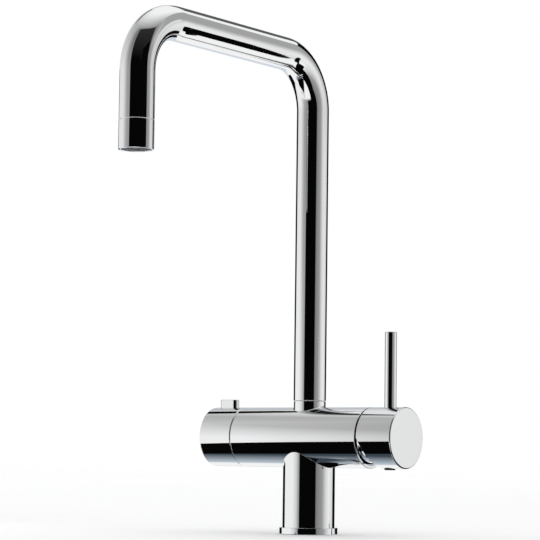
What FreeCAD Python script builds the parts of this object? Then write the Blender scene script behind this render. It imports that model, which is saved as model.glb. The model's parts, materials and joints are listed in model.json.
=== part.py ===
"""Single-lever kitchen mixer tap with a square-U swivel spout and a dishwasher shut-off knob.

Frame: the pillar stands on +Z with its foot at z = 0, the barrel lies along X with the mixing
handle at +X and the shut-off knob at -X, and the spout points to -Y. Millimetres and degrees.
"""
import FreeCAD, Part
import math
import os

from FreeCAD import Vector

# Barrel, pillar and neck
barrel_diameter = 46.0
axis_height = 73.5
barrel_right_length = 56.6
barrel_left_length = 59.0
edge_break = 0.4
pillar_diameter = 40.0
pillar_wall = 3.2
neck_diameter = 24.6
neck_rise = 27.5
neck_lip = 1.1
neck_fillet = 1.0

# Foot: the ring is trapped between the deck and the pillar's shoulder
base_ring_overhang = 2.3
base_ring_height = 5.1
foot_step = 1.0
foot_height = 3.1
gasket_inset = 0.75
gasket_width = 1.6
gasket_depth = 1.5
foot_wall = 4.3
shank_thread_length = 16.0

# Hose ports in the boss that plugs the pillar's top, and the waterways above them
boss_projection = 6.5
port_bore = 8.92
port_depth = 10.0
waterway_diameter = 6.4
waterway_wall = 2.2
inlet_port_x = 5.5
outlet_port_x = 9.0

# Mixing cartridge, counted inwards from the barrel's right face
cartridge_diameter = 35.0
cartridge_wall = 1.2
mouth_wall = 1.9
nut_inset = 1.6
nut_height = 4.7
nut_clearance = 0.6
pivot_inset = 4.6
top_plate_thickness = 2.5
carrier_shoulder = 2.5
carrier_flange_thickness = 1.8
carrier_rise = 3.5
carrier_lug_length = 5.8
carrier_lug_width = 8.0
driver_step = 1.0
driver_height = 8.5
driver_flat_cut = 0.5
moving_disc_margin = 2.3
moving_disc_thickness = 4.45
disc_margin = 0.8
fixed_disc_thickness = 5.0
base_web = 3.5
base_recess = 1.5
inlet_offset_y = 6.5
inlet_offset_z = -5.5
mixed_offset_z = 7.0
port_seal_width = 1.4
port_seal_depth = 1.2
base_peg_diameter = 3.0
base_peg_length = 2.0
base_peg_inset = 5.0
base_peg_angle = 30.0

# Lever stem and its pivot
tilt_range = 25.0
pivot_pin_diameter = 3.0
pivot_pin_inset = 2.5
stem_arm = 9.5
stem_ball_diameter = 5.8
stem_arm_diameter = 3.6
stem_knuckle_diameter = 8.4
stem_width = 6.4
stem_height = 8.0
stem_length = 27.0
carrier_slot_wall = 4.5

# Handle
handle_gap = 1.2
handle_length = 30.2
handle_wall = 2.2
handle_cup_depth = 10.6
handle_edge = 0.6
dome_clearance = 0.6
dome_wall = 1.0
dome_opening_diameter = 30.4
dome_skirt = 2.0
socket_boss_diameter = 13.0
socket_boss_start = 12.5
lever_inset = 14.6
lever_diameter = 9.0
lever_top = 79.3
lever_seat = 1.8
lever_spigot_diameter = 6.0
lever_root_wall = 1.4
lever_edge = 0.7
handle_screw_diameter = 5.0
handle_screw_length = 8.0
plug_diameter = 8.2
plug_depth = 3.4
plug_proud = 0.9

# Shut-off headwork, counted inwards from the barrel's left face
valve_depth = 21.0
headwork_diameter = 20.0
headwork_wall = 1.9
valve_seal_thickness = 3.0
valve_seal_bore = 9.0
valve_disc_thickness = 3.5
valve_disc_port = 5.0
spindle_tongue_depth = 1.4
spindle_tongue_width = 5.0
spindle_tongue_rise = 2.0
spindle_foot_thickness = 1.8
spindle_diameter = 10.0
spindle_end_step = 1.0
spindle_end_gap = 1.45
headwork_groove_depth = 2.5
headwork_groove_width = 5.0
guide_ring_thickness = 3.0
headwork_flange_rim = 4.0
headwork_flange_thickness = 2.0
headwork_hex_rim = 0.5
headwork_hex_height = 5.0
stop_collar_wall = 2.5
stop_collar_height = 3.0
stop_lug_width = 3.0
shutoff_range = 90.0
clip_thickness = 0.8
clip_width = 1.5
clip_groove_depth = 0.7

# Shut-off knob
knob_gap = 0.3
knob_length = 29.3
knob_wall = 2.5
knob_end_wall = 4.0
knob_edge = 0.6
insert_boss_wall = 4.5
insert_web = 4.0
tab_length = 16.2
tab_width = 6.5
tab_rise = 6.1
tab_sink = 1.3
tab_inset = 12.2
knob_screw_diameter = 3.0
knob_screw_length = 6.0

# Spout
tube_diameter = 25.0
tube_wall = 1.5
spout_height = 377.5
reach = 213.7
bend_radius = 40.0
swivel_range = 60.0
socket_bore = 19.2
chamber_ledge = 2.1
spigot_ledge = 22.0
lower_bush_height = 1.5
slide_ring_depth = 1.6
slide_ring_proud = 0.35
spigot_tail = 12.6
spigot_web = 1.55
o_ring_section = 2.0
first_o_ring = 4.6
o_ring_pitch = 5.0
lock_screw_diameter = 5.0
lock_screw_drop = 4.5
lock_tip_diameter = 3.2
lock_groove_depth = 2.1

# Outlet
drop_length = 95.5
sleeve_length = 20.5
sleeve_seam = 0.25
sleeve_rim = 2.0
sleeve_tail = 8.0
sleeve_tail_bore = 16.0
sleeve_ledge = 15.0
aerator_recess = 3.7
aerator_wall = 1.4
aerator_seal_thickness = 1.5
grid_thickness = 2.0
grid_pitch = 2.6
grid_hole = 1.9
grid_rings = 3
diffuser_thickness = 1.2
diffuser_drop = 0.9
diffuser_holes = 12
diffuser_hole = 1.6
strainer_rise = 3.0
strainer_wall = 0.6

# Clearances: fast pieces, running fits, loose pieces, and faces that slide on each other
fast_clearance = 0.02
running_clearance = 0.05
loose_clearance = 0.3
face_clearance = 0.05
braze_gap = 0.05

X = Vector(1, 0, 0)
Y = Vector(0, 1, 0)
Z = Vector(0, 0, 1)
NONE = Vector(0, 0, 0)


def along_x(start, end, diameter, y=0.0, z=0.0):
    """Cylinder parallel to the barrel, with y and z counted from its axis."""
    low = min(start, end)
    return Part.makeCylinder(diameter / 2, abs(end - start), Vector(low, y, axis_height + z), X)


def along_y(start, end, diameter, x=0.0, z=0.0):
    """Cylinder parallel to Y, with z as a height above the deck."""
    low = min(start, end)
    return Part.makeCylinder(diameter / 2, abs(end - start), Vector(x, low, z), Y)


def along_z(start, end, diameter, x=0.0, y=0.0):
    """Upright cylinder between two heights above the deck."""
    low = min(start, end)
    return Part.makeCylinder(diameter / 2, abs(end - start), Vector(x, y, low), Z)


def drilling(start, end, diameter):
    """Cored waterway from one point to another."""
    run = end - start
    return Part.makeCylinder(diameter / 2, run.Length, start, run)


def block(x_span, y_span, z_span):
    """Box between pairs of limits."""
    corner = Vector(x_span[0], y_span[0], z_span[0])
    sizes = [span[1] - span[0] for span in (x_span, y_span, z_span)]
    return Part.makeBox(*sizes, corner)


def turned(points, origin, axis, angle=360.0):
    """Solid of revolution of a closed outline given as points."""
    outline = Part.makePolygon(list(points) + [points[0]])
    return Part.Face(outline).revolve(origin, axis, angle)


def turned_x(profile):
    """Turned piece on the barrel's axis from (x, radius) points."""
    points = [Vector(x, 0, axis_height + r) for x, r in profile]
    return turned(points, Vector(0, 0, axis_height), X)


def turned_z(profile, y=0.0):
    """Turned piece on an upright axis from (radius, height) points."""
    points = [Vector(r, y, z) for r, z in profile]
    return turned(points, Vector(0, y, 0), Z)


def ring_x(start, end, outer, inner):
    """Flat ring on the barrel's axis."""
    return along_x(start, end, outer).cut(along_x(start, end, inner))


def ring_z(start, end, outer, inner, y=0.0):
    """Flat ring on an upright axis."""
    return along_z(start, end, outer, 0, y).cut(along_z(start, end, inner, 0, y))


def o_ring(centre, axis, outer_diameter):
    """O-ring whose outside has the given diameter."""
    major = (outer_diameter - o_ring_section) / 2
    return Part.makeTorus(major, o_ring_section / 2, centre, axis)


def hexagon(across):
    """Corners of a hexagon from its width across flats, as (u, v) pairs about its middle."""
    corner = across / 2 / math.cos(math.pi / 6)
    turns = [step * math.pi / 3 for step in range(6)]
    return [(corner * math.cos(turn), corner * math.sin(turn)) for turn in turns]


def prism(points, run):
    """Straight prism over a closed outline given as points."""
    return Part.Face(Part.makePolygon(points + [points[0]])).extrude(run)


def fuse(*shapes):
    """One clean solid out of several."""
    return shapes[0].fuse(list(shapes[1:])).removeSplitter()


# Levels and radii that several pieces share
barrel_radius = barrel_diameter / 2
mouth_x = barrel_right_length
left_face = -barrel_left_length
neck_radius = neck_diameter / 2
neck_top = axis_height + neck_rise
boss_face = axis_height - barrel_radius - boss_projection
boss_diameter = pillar_diameter - 2 * pillar_wall
shank_thread_bore = pillar_diameter - 2 * foot_wall
base_ring_diameter = pillar_diameter + 2 * base_ring_overhang
gasket_inner = pillar_diameter / 2 - foot_step + gasket_inset

pivot_x = mouth_x - pivot_inset
nut_top = mouth_x - nut_inset
nut_bottom = nut_top - nut_height
plate_bottom = nut_bottom - top_plate_thickness
carrier_flange_top = plate_bottom - loose_clearance
carrier_bottom = carrier_flange_top - carrier_flange_thickness
carrier_top = pivot_x + carrier_rise
driver_top = carrier_bottom - loose_clearance
driver_bottom = driver_top - driver_height
moving_disc_bottom = driver_bottom - moving_disc_thickness
fixed_disc_top = moving_disc_bottom - face_clearance
fixed_disc_bottom = fixed_disc_top - fixed_disc_thickness
base_bottom = fixed_disc_bottom - base_web
base_top = fixed_disc_bottom + base_recess
ball_x = pivot_x - stem_arm
disc_travel = stem_arm * math.sin(math.radians(tilt_range))
disc_rest = -disc_travel / 2
housing_bore = cartridge_diameter - 2 * cartridge_wall
fixed_disc_diameter = housing_bore - 2 * disc_margin
moving_disc_diameter = housing_bore - disc_travel - 2 * moving_disc_margin
driver_diameter = moving_disc_diameter - 2 * driver_step
driver_flat = driver_diameter / 2 - driver_flat_cut
carrier_flange_diameter = housing_bore - 2 * disc_margin
carrier_neck_diameter = carrier_flange_diameter - 2 * carrier_shoulder
carrier_slot_half = carrier_neck_diameter / 2 - carrier_slot_wall
pivot_pin_length = carrier_neck_diameter - 2 * pivot_pin_inset
nut_opening_diameter = carrier_neck_diameter + 2 * nut_clearance
base_peg_radius = cartridge_diameter / 2 - base_peg_inset
base_peg_y = base_peg_radius * math.cos(math.radians(base_peg_angle))
base_peg_z = base_peg_radius * math.sin(math.radians(base_peg_angle))
cartridge_hole = cartridge_diameter + 2 * loose_clearance
nut_diameter = barrel_diameter - 2 * mouth_wall
nut_seat = nut_bottom - loose_clearance

handle_start = mouth_x + handle_gap
handle_end = handle_start + handle_length
handle_bore_radius = barrel_radius - handle_wall
dome_radius = handle_bore_radius - dome_clearance
skirt_radius = math.sqrt(dome_radius ** 2 - (nut_top - pivot_x) ** 2)
lever_x = handle_end - lever_inset
lever_near_side = lever_x - lever_spigot_diameter / 2 - pivot_x
cup_at_lever = math.sqrt(max(0.0, handle_bore_radius ** 2 - lever_near_side ** 2))
lever_root = max(cup_at_lever, stem_height / 2) + lever_root_wall

knob_start = left_face - knob_gap
knob_end = knob_start - knob_length
knob_bore = barrel_diameter - 2 * knob_wall
knob_floor = knob_end + knob_end_wall
valve_floor = left_face + valve_depth
headwork_bore = headwork_diameter - 2 * headwork_wall
headwork_groove_diameter = headwork_diameter + 2 * headwork_groove_depth
headwork_flange_diameter = headwork_diameter + 2 * headwork_flange_rim
headwork_hex = headwork_diameter + 2 * headwork_hex_rim
stop_collar_diameter = spindle_diameter + 2 * stop_collar_wall
clip_diameter = spindle_diameter + 2 * clip_width
spindle_end_diameter = spindle_diameter - 2 * spindle_end_step
insert_boss_diameter = spindle_end_diameter + 2 * insert_boss_wall
guide_ring_face = left_face - guide_ring_thickness
flange_face = guide_ring_face - headwork_flange_thickness
hex_face = flange_face - headwork_hex_height
collar_face = hex_face - stop_collar_height
valve_fixed_start = valve_floor - valve_seal_thickness
valve_moving_start = valve_fixed_start - valve_disc_thickness - face_clearance
valve_moving_end = valve_moving_start - valve_disc_thickness
tongue_start = valve_moving_end + spindle_tongue_depth
foot_start = valve_moving_end - spindle_tongue_rise
foot_end = foot_start - spindle_foot_thickness
headwork_bore_end = foot_end - face_clearance
clip_start = collar_face - face_clearance
clip_end = clip_start - clip_thickness
shoulder_x = clip_end - clip_thickness
spindle_end = knob_floor + spindle_end_gap
groove_start = valve_moving_end + headwork_groove_width / 4
spindle_o_ring_places = [headwork_bore_end - first_o_ring - o_ring_pitch * step for step in range(2)]
stop_lug_half = math.degrees(math.asin(stop_lug_width / spindle_diameter))
stop_margin = math.degrees(2 * loose_clearance / spindle_diameter)

insert_start = shoulder_x - loose_clearance
insert_web_start = knob_floor + insert_web
tab_x = knob_end + tab_inset
knob_screw_x = (insert_start + insert_web_start) / 2

tube_bore = tube_diameter - 2 * tube_wall
tube_start = neck_top + slide_ring_proud + face_clearance
arm_height = spout_height - tube_diameter / 2
slide_ring_seat = neck_diameter - 2 * neck_lip
chamber_bore = socket_bore - 2 * chamber_ledge
ledge_height = neck_top - spigot_ledge
chamber_floor = axis_height + inlet_offset_z + waterway_diameter / 2 + waterway_wall
spigot_start = ledge_height + lower_bush_height + face_clearance
spigot_diameter = socket_bore - 2 * running_clearance
spigot_water_bore = spigot_diameter - 2 * o_ring_section - 2 * spigot_web
spout_o_ring_heights = [spigot_start + first_o_ring + o_ring_pitch * step for step in range(2)]
lock_height = neck_top - lock_screw_drop

outlet_place = Vector(0, -reach, 0)
outlet_height = arm_height - drop_length
sleeve_top = outlet_height + sleeve_length
tube_end = sleeve_top + sleeve_seam
sleeve_bore = tube_diameter - 2 * sleeve_rim
aerator_bottom = outlet_height + aerator_recess
ledge_face = outlet_height + sleeve_ledge
seal_bottom = ledge_face - aerator_seal_thickness
aerator_diameter = sleeve_bore - 2 * running_clearance
aerator_bore = aerator_diameter - 2 * aerator_wall
grid_bottom = aerator_bottom + aerator_wall / 2
strainer_foot = seal_bottom - diffuser_drop
diffuser_bottom = strainer_foot - diffuser_thickness

inlet_ports = [(y, inlet_offset_z) for y in (inlet_offset_y, -inlet_offset_y)]
cartridge_ports = inlet_ports + [(0.0, mixed_offset_z)]


def fillet_where_both(shape, first_radius, second_radius, size):
    """Round the edge where an upright cylinder leaves the barrel."""
    chosen = []
    for edge in shape.Edges:
        middle = edge.valueAt((edge.FirstParameter + edge.LastParameter) / 2)
        from_z = math.hypot(middle.x, middle.y)
        from_x = math.hypot(middle.y, middle.z - axis_height)
        on_both = abs(from_z - first_radius) < 0.01 and abs(from_x - second_radius) < 0.01
        if on_both and middle.z > axis_height:
            chosen.append(edge)
    return shape.makeFillet(size, chosen)


def make_barrel():
    """Turned and cored brass body: barrel, spout neck and the boss that plugs into the pillar."""
    barrel = turned_x([
        (left_face, 0), (left_face, barrel_radius - edge_break), (left_face + edge_break, barrel_radius),
        (mouth_x - edge_break, barrel_radius), (mouth_x, barrel_radius - edge_break), (mouth_x, 0)])
    neck = turned_z([
        (0, axis_height), (neck_radius, axis_height), (neck_radius, neck_top - edge_break),
        (neck_radius - edge_break, neck_top), (0, neck_top)])
    body = fillet_where_both(barrel.fuse(neck), neck_radius, barrel_radius, neck_fillet)
    boss = along_z(boss_face, axis_height, boss_diameter)
    body = fuse(body, boss)

    cartridge_cavity = fuse(
        along_x(base_bottom, mouth_x, cartridge_hole),
        along_x(nut_seat, mouth_x, nut_diameter + 2 * running_clearance))
    pegs = [along_x(base_bottom - base_peg_length - loose_clearance, base_bottom,
                    base_peg_diameter + 2 * running_clearance, y, base_peg_z)
            for y in (base_peg_y, -base_peg_y)]
    groove = along_x(groove_start, groove_start - headwork_groove_width, headwork_groove_diameter)
    valve_cavity = fuse(
        along_x(left_face, valve_floor, headwork_diameter + 2 * running_clearance),
        groove)
    spout_socket = fuse(
        along_z(ledge_height, neck_top, socket_bore),
        along_z(chamber_floor, neck_top, chamber_bore),
        along_z(neck_top - slide_ring_depth, neck_top, slide_ring_seat))
    lock_hole = along_y(0, neck_radius, lock_screw_diameter, 0, lock_height)

    inlet_height = axis_height + inlet_offset_z
    waterways = []
    for y in (inlet_offset_y, -inlet_offset_y):
        waterways.append(along_x(inlet_port_x, base_bottom, waterway_diameter, y, inlet_offset_z))
        waterways.append(along_z(boss_face, boss_face + port_depth, port_bore, inlet_port_x, y))
        waterways.append(along_z(boss_face, inlet_height, waterway_diameter, inlet_port_x, y))
    mixed_start = Vector(base_bottom, 0, axis_height + mixed_offset_z)
    chamber_middle = Vector(0, 0, chamber_floor + waterway_diameter / 2)
    waterways.append(drilling(mixed_start, chamber_middle, waterway_diameter))
    cold = Vector(inlet_port_x, -inlet_offset_y, inlet_height)
    waterways.append(drilling(cold, Vector(valve_floor, 0, axis_height), waterway_diameter))
    drain_top = Vector(groove_start - headwork_groove_width / 2, 0, axis_height - headwork_diameter / 2)
    drain_foot = Vector(-outlet_port_x, 0, boss_face + port_depth)
    waterways.append(drilling(drain_top, drain_foot, waterway_diameter))
    waterways.append(along_z(boss_face, boss_face + port_depth, port_bore, -outlet_port_x))
    hollow = fuse(cartridge_cavity, *pegs, valve_cavity, spout_socket, lock_hole, *waterways)
    return body.cut(hollow)


def make_pillar():
    """Brass tube, saddle-cut to the barrel and brazed over its boss; the foot takes the fixing shank."""
    foot_radius = pillar_diameter / 2 - foot_step
    tube = turned_z([
        (shank_thread_bore / 2, 0), (foot_radius, 0), (foot_radius, foot_height),
        (pillar_diameter / 2, foot_height), (pillar_diameter / 2, axis_height),
        (boss_diameter / 2 + braze_gap, axis_height), (boss_diameter / 2 + braze_gap, shank_thread_length),
        (shank_thread_bore / 2, shank_thread_length)])
    saddle = along_x(-pillar_diameter, pillar_diameter, barrel_diameter + 2 * braze_gap)
    return tube.cut(saddle)


def make_base_ring():
    """Polished ring that the pillar's shoulder clamps on the deck, grooved below for its gasket."""
    radius = base_ring_diameter / 2
    lower_bore = pillar_diameter / 2 - foot_step + running_clearance
    upper_bore = pillar_diameter / 2 + running_clearance
    ring = turned_z([
        (lower_bore, 0), (radius - edge_break, 0), (radius, edge_break),
        (radius, base_ring_height - edge_break), (radius - edge_break, base_ring_height),
        (upper_bore, base_ring_height), (upper_bore, foot_height), (lower_bore, foot_height)])
    return ring.cut(ring_z(0, gasket_depth, 2 * (gasket_inner + gasket_width), 2 * gasket_inner))


def make_base_gasket():
    """Flat rubber gasket in the ring's groove, flush with the deck face."""
    outer = gasket_inner + gasket_width - running_clearance
    return ring_z(0, gasket_depth, 2 * outer, 2 * (gasket_inner + running_clearance))


def make_cartridge_base():
    """Moulded bottom plate with its ports, seal grooves, disc recess and locating pegs."""
    plate = along_x(base_bottom, base_top, cartridge_diameter)
    plate = plate.cut(along_x(fixed_disc_bottom, base_top, fixed_disc_diameter + 2 * running_clearance))
    peg_end = base_bottom - base_peg_length
    for y in (base_peg_y, -base_peg_y):
        plate = plate.fuse(along_x(peg_end, base_bottom, base_peg_diameter, y, base_peg_z))
    for y, z in cartridge_ports:
        outer = waterway_diameter + 2 * port_seal_width
        plate = plate.cut(along_x(base_bottom, base_bottom + port_seal_depth, outer, y, z))
        plate = plate.cut(along_x(base_bottom, base_top, waterway_diameter, y, z))
    return plate.removeSplitter()


def make_base_seals():
    """Three rubber rings that seal the bottom plate's ports against the barrel's floor."""
    rings = []
    for y, z in cartridge_ports:
        outer = waterway_diameter + 2 * port_seal_width - 2 * running_clearance
        inner = waterway_diameter
        ring = along_x(base_bottom, base_bottom + port_seal_depth, outer, y, z)
        rings.append(ring.cut(along_x(base_bottom, base_bottom + port_seal_depth, inner, y, z)))
    return Part.Compound(rings)


def make_fixed_disc():
    """Lapped ceramic disc with the hot, cold and mixed ports."""
    disc = along_x(fixed_disc_bottom, fixed_disc_top, fixed_disc_diameter)
    for y, z in cartridge_ports:
        disc = disc.cut(along_x(fixed_disc_bottom, fixed_disc_top, waterway_diameter, y, z))
    return disc


def make_moving_disc():
    """Lapped ceramic disc whose blind pocket joins the inlets to the mixed port when it slides."""
    disc = along_x(moving_disc_bottom, driver_bottom, moving_disc_diameter, 0, disc_rest)
    pocket_depth = moving_disc_thickness / 2
    half_length = mixed_offset_z - waterway_diameter / 2
    half_width = waterway_diameter / 2
    pocket = block(
        (moving_disc_bottom, moving_disc_bottom + pocket_depth), (-half_width, half_width),
        (axis_height + disc_rest - half_length, axis_height + disc_rest + half_length))
    return disc.cut(pocket)


def make_disc_driver():
    """Moulded driver on the moving disc, with a pocket for the stem's ball and two guided flats."""
    driver = along_x(driver_bottom, driver_top, driver_diameter, 0, disc_rest)
    half = driver_diameter / 2
    flats = block(
        (driver_bottom, driver_top), (-driver_flat, driver_flat),
        (axis_height + disc_rest - half, axis_height + disc_rest + half))
    pocket_floor = ball_x - stem_ball_diameter / 2 - loose_clearance
    pocket = along_x(pocket_floor, driver_top, stem_ball_diameter + 2 * loose_clearance)
    return driver.common(flats).cut(pocket)


def make_cartridge_housing():
    """Moulded cartridge shell on the bottom plate, closed by a top plate round the carrier's neck."""
    radius = cartridge_diameter / 2
    neck_hole = carrier_neck_diameter / 2 + running_clearance
    return turned_x([
        (base_top, housing_bore / 2), (base_top, radius), (nut_bottom, radius), (nut_bottom, neck_hole),
        (plate_bottom, neck_hole), (plate_bottom, housing_bore / 2)])


def make_carrier():
    """Turning head of the cartridge: flange, neck, stem slot, pin hole and the driver's guide lugs."""
    carrier = fuse(
        along_x(carrier_bottom, carrier_flange_top, carrier_flange_diameter),
        along_x(carrier_bottom, carrier_top, carrier_neck_diameter))
    lug_face = driver_flat + loose_clearance
    lug_back = carrier_neck_diameter / 2 + running_clearance
    for side in (1, -1):
        span = sorted((side * lug_face, side * lug_back))
        half = carrier_lug_width / 2
        lug = block(
            (carrier_bottom - carrier_lug_length, carrier_bottom), span,
            (axis_height - half, axis_height + half))
        carrier = carrier.fuse(lug)
    slot_half = stem_width / 2 + loose_clearance
    slot = block(
        (carrier_bottom, carrier_top), (-slot_half, slot_half),
        (axis_height - carrier_slot_half, axis_height + carrier_slot_half))
    pin_half = pivot_pin_length / 2
    pin_hole = along_y(-pin_half, pin_half, pivot_pin_diameter + 2 * fast_clearance, pivot_x, axis_height)
    return carrier.cut(slot).cut(pin_hole).removeSplitter()


def make_pivot_pin():
    """Steel pin that the stem tilts on, held in the carrier."""
    half = pivot_pin_length / 2 - loose_clearance
    return along_y(-half, half, pivot_pin_diameter, pivot_x, axis_height)


def make_stem():
    """Metal lever stem: ball end, arm, pivot knuckle and the flat bar that the handle clamps on."""
    half_width = stem_width / 2
    ball = Part.makeSphere(stem_ball_diameter / 2, Vector(ball_x, 0, axis_height))
    arm = along_x(ball_x, pivot_x, stem_arm_diameter)
    knuckle = along_y(-half_width, half_width, stem_knuckle_diameter, pivot_x, axis_height)
    bar = block(
        (pivot_x, pivot_x + stem_length), (-half_width, half_width),
        (axis_height - stem_height / 2, axis_height + stem_height / 2))
    pin_bore = pivot_pin_diameter + 2 * running_clearance
    pin_hole = along_y(-half_width, half_width, pin_bore, pivot_x, axis_height)
    return fuse(ball, arm, knuckle, bar).cut(pin_hole)


def make_cartridge_nut():
    """Brass ring nut that holds the cartridge down, with a spigot for the dome."""
    spigot_radius = skirt_radius - dome_wall - running_clearance
    skirt_foot = nut_top - dome_skirt
    return turned_x([
        (nut_bottom, nut_opening_diameter / 2), (nut_bottom, nut_diameter / 2),
        (skirt_foot, nut_diameter / 2), (skirt_foot, spigot_radius),
        (nut_top, spigot_radius), (nut_top, nut_opening_diameter / 2)])


def dome_arc(radius, start_x, end_x):
    """Meridian of a sphere about the stem's pivot, between two places along the barrel."""
    points = []
    for x in (start_x, (start_x + end_x) / 2, end_x):
        points.append(Vector(x, 0, axis_height + math.sqrt(radius ** 2 - (x - pivot_x) ** 2)))
    return Part.Arc(*points).toShape()


def make_dome():
    """Chromed dome on the nut, a sphere about the stem's pivot, that shows when the handle tilts."""
    inner_skirt = skirt_radius - dome_wall
    inner_radius = math.hypot(inner_skirt, nut_top - pivot_x)
    opening_x = pivot_x + math.sqrt(dome_radius ** 2 - (dome_opening_diameter / 2) ** 2)
    outside = dome_arc(dome_radius, nut_top, opening_x)
    inside = dome_arc(inner_radius, opening_x, nut_top)
    outer_foot = Vector(nut_top - dome_skirt, 0, axis_height + skirt_radius)
    inner_foot = Vector(nut_top - dome_skirt, 0, axis_height + inner_skirt)
    outline = Part.Wire([
        Part.makeLine(inner_foot, outer_foot), Part.makeLine(outer_foot, outside.firstVertex().Point),
        outside, Part.makeLine(outside.lastVertex().Point, inside.firstVertex().Point),
        inside, Part.makeLine(inside.lastVertex().Point, inner_foot)])
    return Part.Face(outline).revolve(Vector(0, 0, axis_height), X, 360)


def make_handle_hub():
    """Handle hub: ball-cut cup over the dome, slanted relief below, stem socket, lever and screw holes."""
    hub = turned_x([
        (handle_start, 0), (handle_start, barrel_radius - edge_break),
        (handle_start + edge_break, barrel_radius), (handle_end - handle_edge, barrel_radius),
        (handle_end, barrel_radius - handle_edge), (handle_end, 0)])
    pivot = Vector(pivot_x, 0, axis_height)
    cup = fuse(
        Part.makeSphere(handle_bore_radius, pivot),
        along_x(handle_start, handle_start + handle_cup_depth, 2 * handle_bore_radius))
    boss_start = pivot_x + socket_boss_start
    cup = cup.cut(along_x(boss_start, handle_end, socket_boss_diameter))
    hub = hub.cut(cup)

    relief_depth = barrel_diameter * math.tan(math.radians(tilt_range))
    corner = Vector(handle_start, -barrel_diameter, axis_height)
    wedge = Part.makePolygon([
        corner, corner + Vector(0, 0, -barrel_diameter),
        corner + Vector(relief_depth, 0, -barrel_diameter), corner])
    hub = hub.cut(Part.Face(wedge).extrude(Vector(0, 2 * barrel_diameter, 0)))

    half_width = stem_width / 2 + fast_clearance
    half_height = stem_height / 2 + fast_clearance
    stem_socket = block(
        (boss_start, pivot_x + stem_length + loose_clearance), (-half_width, half_width),
        (axis_height - half_height, axis_height + half_height))
    seat_foot = axis_height + barrel_radius - lever_seat
    lever_hole = fuse(
        along_z(seat_foot, axis_height + barrel_diameter, lever_diameter + 2 * fast_clearance, lever_x),
        along_z(axis_height + lever_root, seat_foot, lever_spigot_diameter + 2 * fast_clearance, lever_x))
    screw_hole = along_z(axis_height - barrel_radius, axis_height,
                         handle_screw_diameter + 2 * fast_clearance, lever_x)
    plug_hole = along_z(axis_height - barrel_diameter, axis_height - barrel_radius + plug_depth,
                        plug_diameter + 2 * fast_clearance, lever_x)
    return hub.cut(fuse(stem_socket, lever_hole, screw_hole, plug_hole))


def make_lever():
    """Lever rod seated in the top of the hub, with a thinner spigot below."""
    radius = lever_diameter / 2
    spigot = lever_spigot_diameter / 2
    foot = axis_height + lever_root
    seat = axis_height + barrel_radius - lever_seat
    top = axis_height + lever_top
    rod = turned_z([
        (0, foot), (spigot, foot), (spigot, seat), (radius, seat), (radius, top - lever_edge),
        (radius - lever_edge, top), (0, top)])
    return rod.translated(Vector(lever_x, 0, 0))


def key_socket(foot, across, depth, x):
    """Hexagonal key socket going up from a height."""
    points = [Vector(x + u, v, foot) for u, v in hexagon(across)]
    return prism(points, Vector(0, 0, depth))


def make_handle_screw():
    """Set screw that clamps the hub on the stem's flat, with its hex socket."""
    top = axis_height - stem_height / 2 - fast_clearance
    screw = along_z(top - handle_screw_length, top, handle_screw_diameter, lever_x)
    across = handle_screw_diameter / 2
    return screw.cut(key_socket(top - handle_screw_length, across, across, lever_x))


def make_plug():
    """Black plug that hides the set screw under the hub."""
    radius = plug_diameter / 2
    foot = axis_height - barrel_radius - plug_proud
    top = axis_height - barrel_radius + plug_depth - fast_clearance
    plug = turned_z([
        (0, foot), (radius - edge_break, foot), (radius, foot + edge_break), (radius, top), (0, top)])
    return plug.translated(Vector(lever_x, 0, 0))


def make_headwork():
    """Brass quarter-turn headwork: screwed shank, flange, hexagon and notched stop collar."""
    shank = along_x(valve_floor - loose_clearance, guide_ring_face, headwork_diameter)
    flange = along_x(guide_ring_face, flange_face, headwork_flange_diameter)
    corners = [Vector(hex_face, u, axis_height + v) for u, v in hexagon(headwork_hex)]
    spanner_hex = prism(corners, Vector(headwork_hex_height, 0, 0))
    collar = along_x(hex_face, collar_face, stop_collar_diameter)
    body = fuse(shank, flange, spanner_hex, collar)
    body = body.cut(along_x(valve_floor, headwork_bore_end, headwork_bore))
    body = body.cut(along_x(valve_floor, collar_face, spindle_diameter + 2 * running_clearance))
    window = block(
        (foot_start, valve_moving_end), (-headwork_diameter, headwork_diameter),
        (axis_height - waterway_diameter / 2, axis_height + waterway_diameter / 2))
    return body.cut(window).cut(stop_notch())


def collar_sector(start_angle, sweep, inner, outer, x_start, x_end):
    """Sector of a ring on the barrel's axis, with angles turning from +Z towards -Y."""
    points = [Vector(x_start, 0, axis_height + inner), Vector(x_start, 0, axis_height + outer),
              Vector(x_end, 0, axis_height + outer), Vector(x_end, 0, axis_height + inner)]
    centre = Vector(0, 0, axis_height)
    sector = turned(points, centre, X, sweep)
    sector.rotate(centre, X, start_angle)
    return sector


def stop_notch():
    """Notch in the collar that lets the spindle's lug turn through the shut-off range."""
    start = -stop_lug_half - stop_margin
    sweep = shutoff_range + 2 * (stop_lug_half + stop_margin)
    return collar_sector(start, sweep, spindle_diameter / 4, stop_collar_diameter, collar_face, hex_face)


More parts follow.
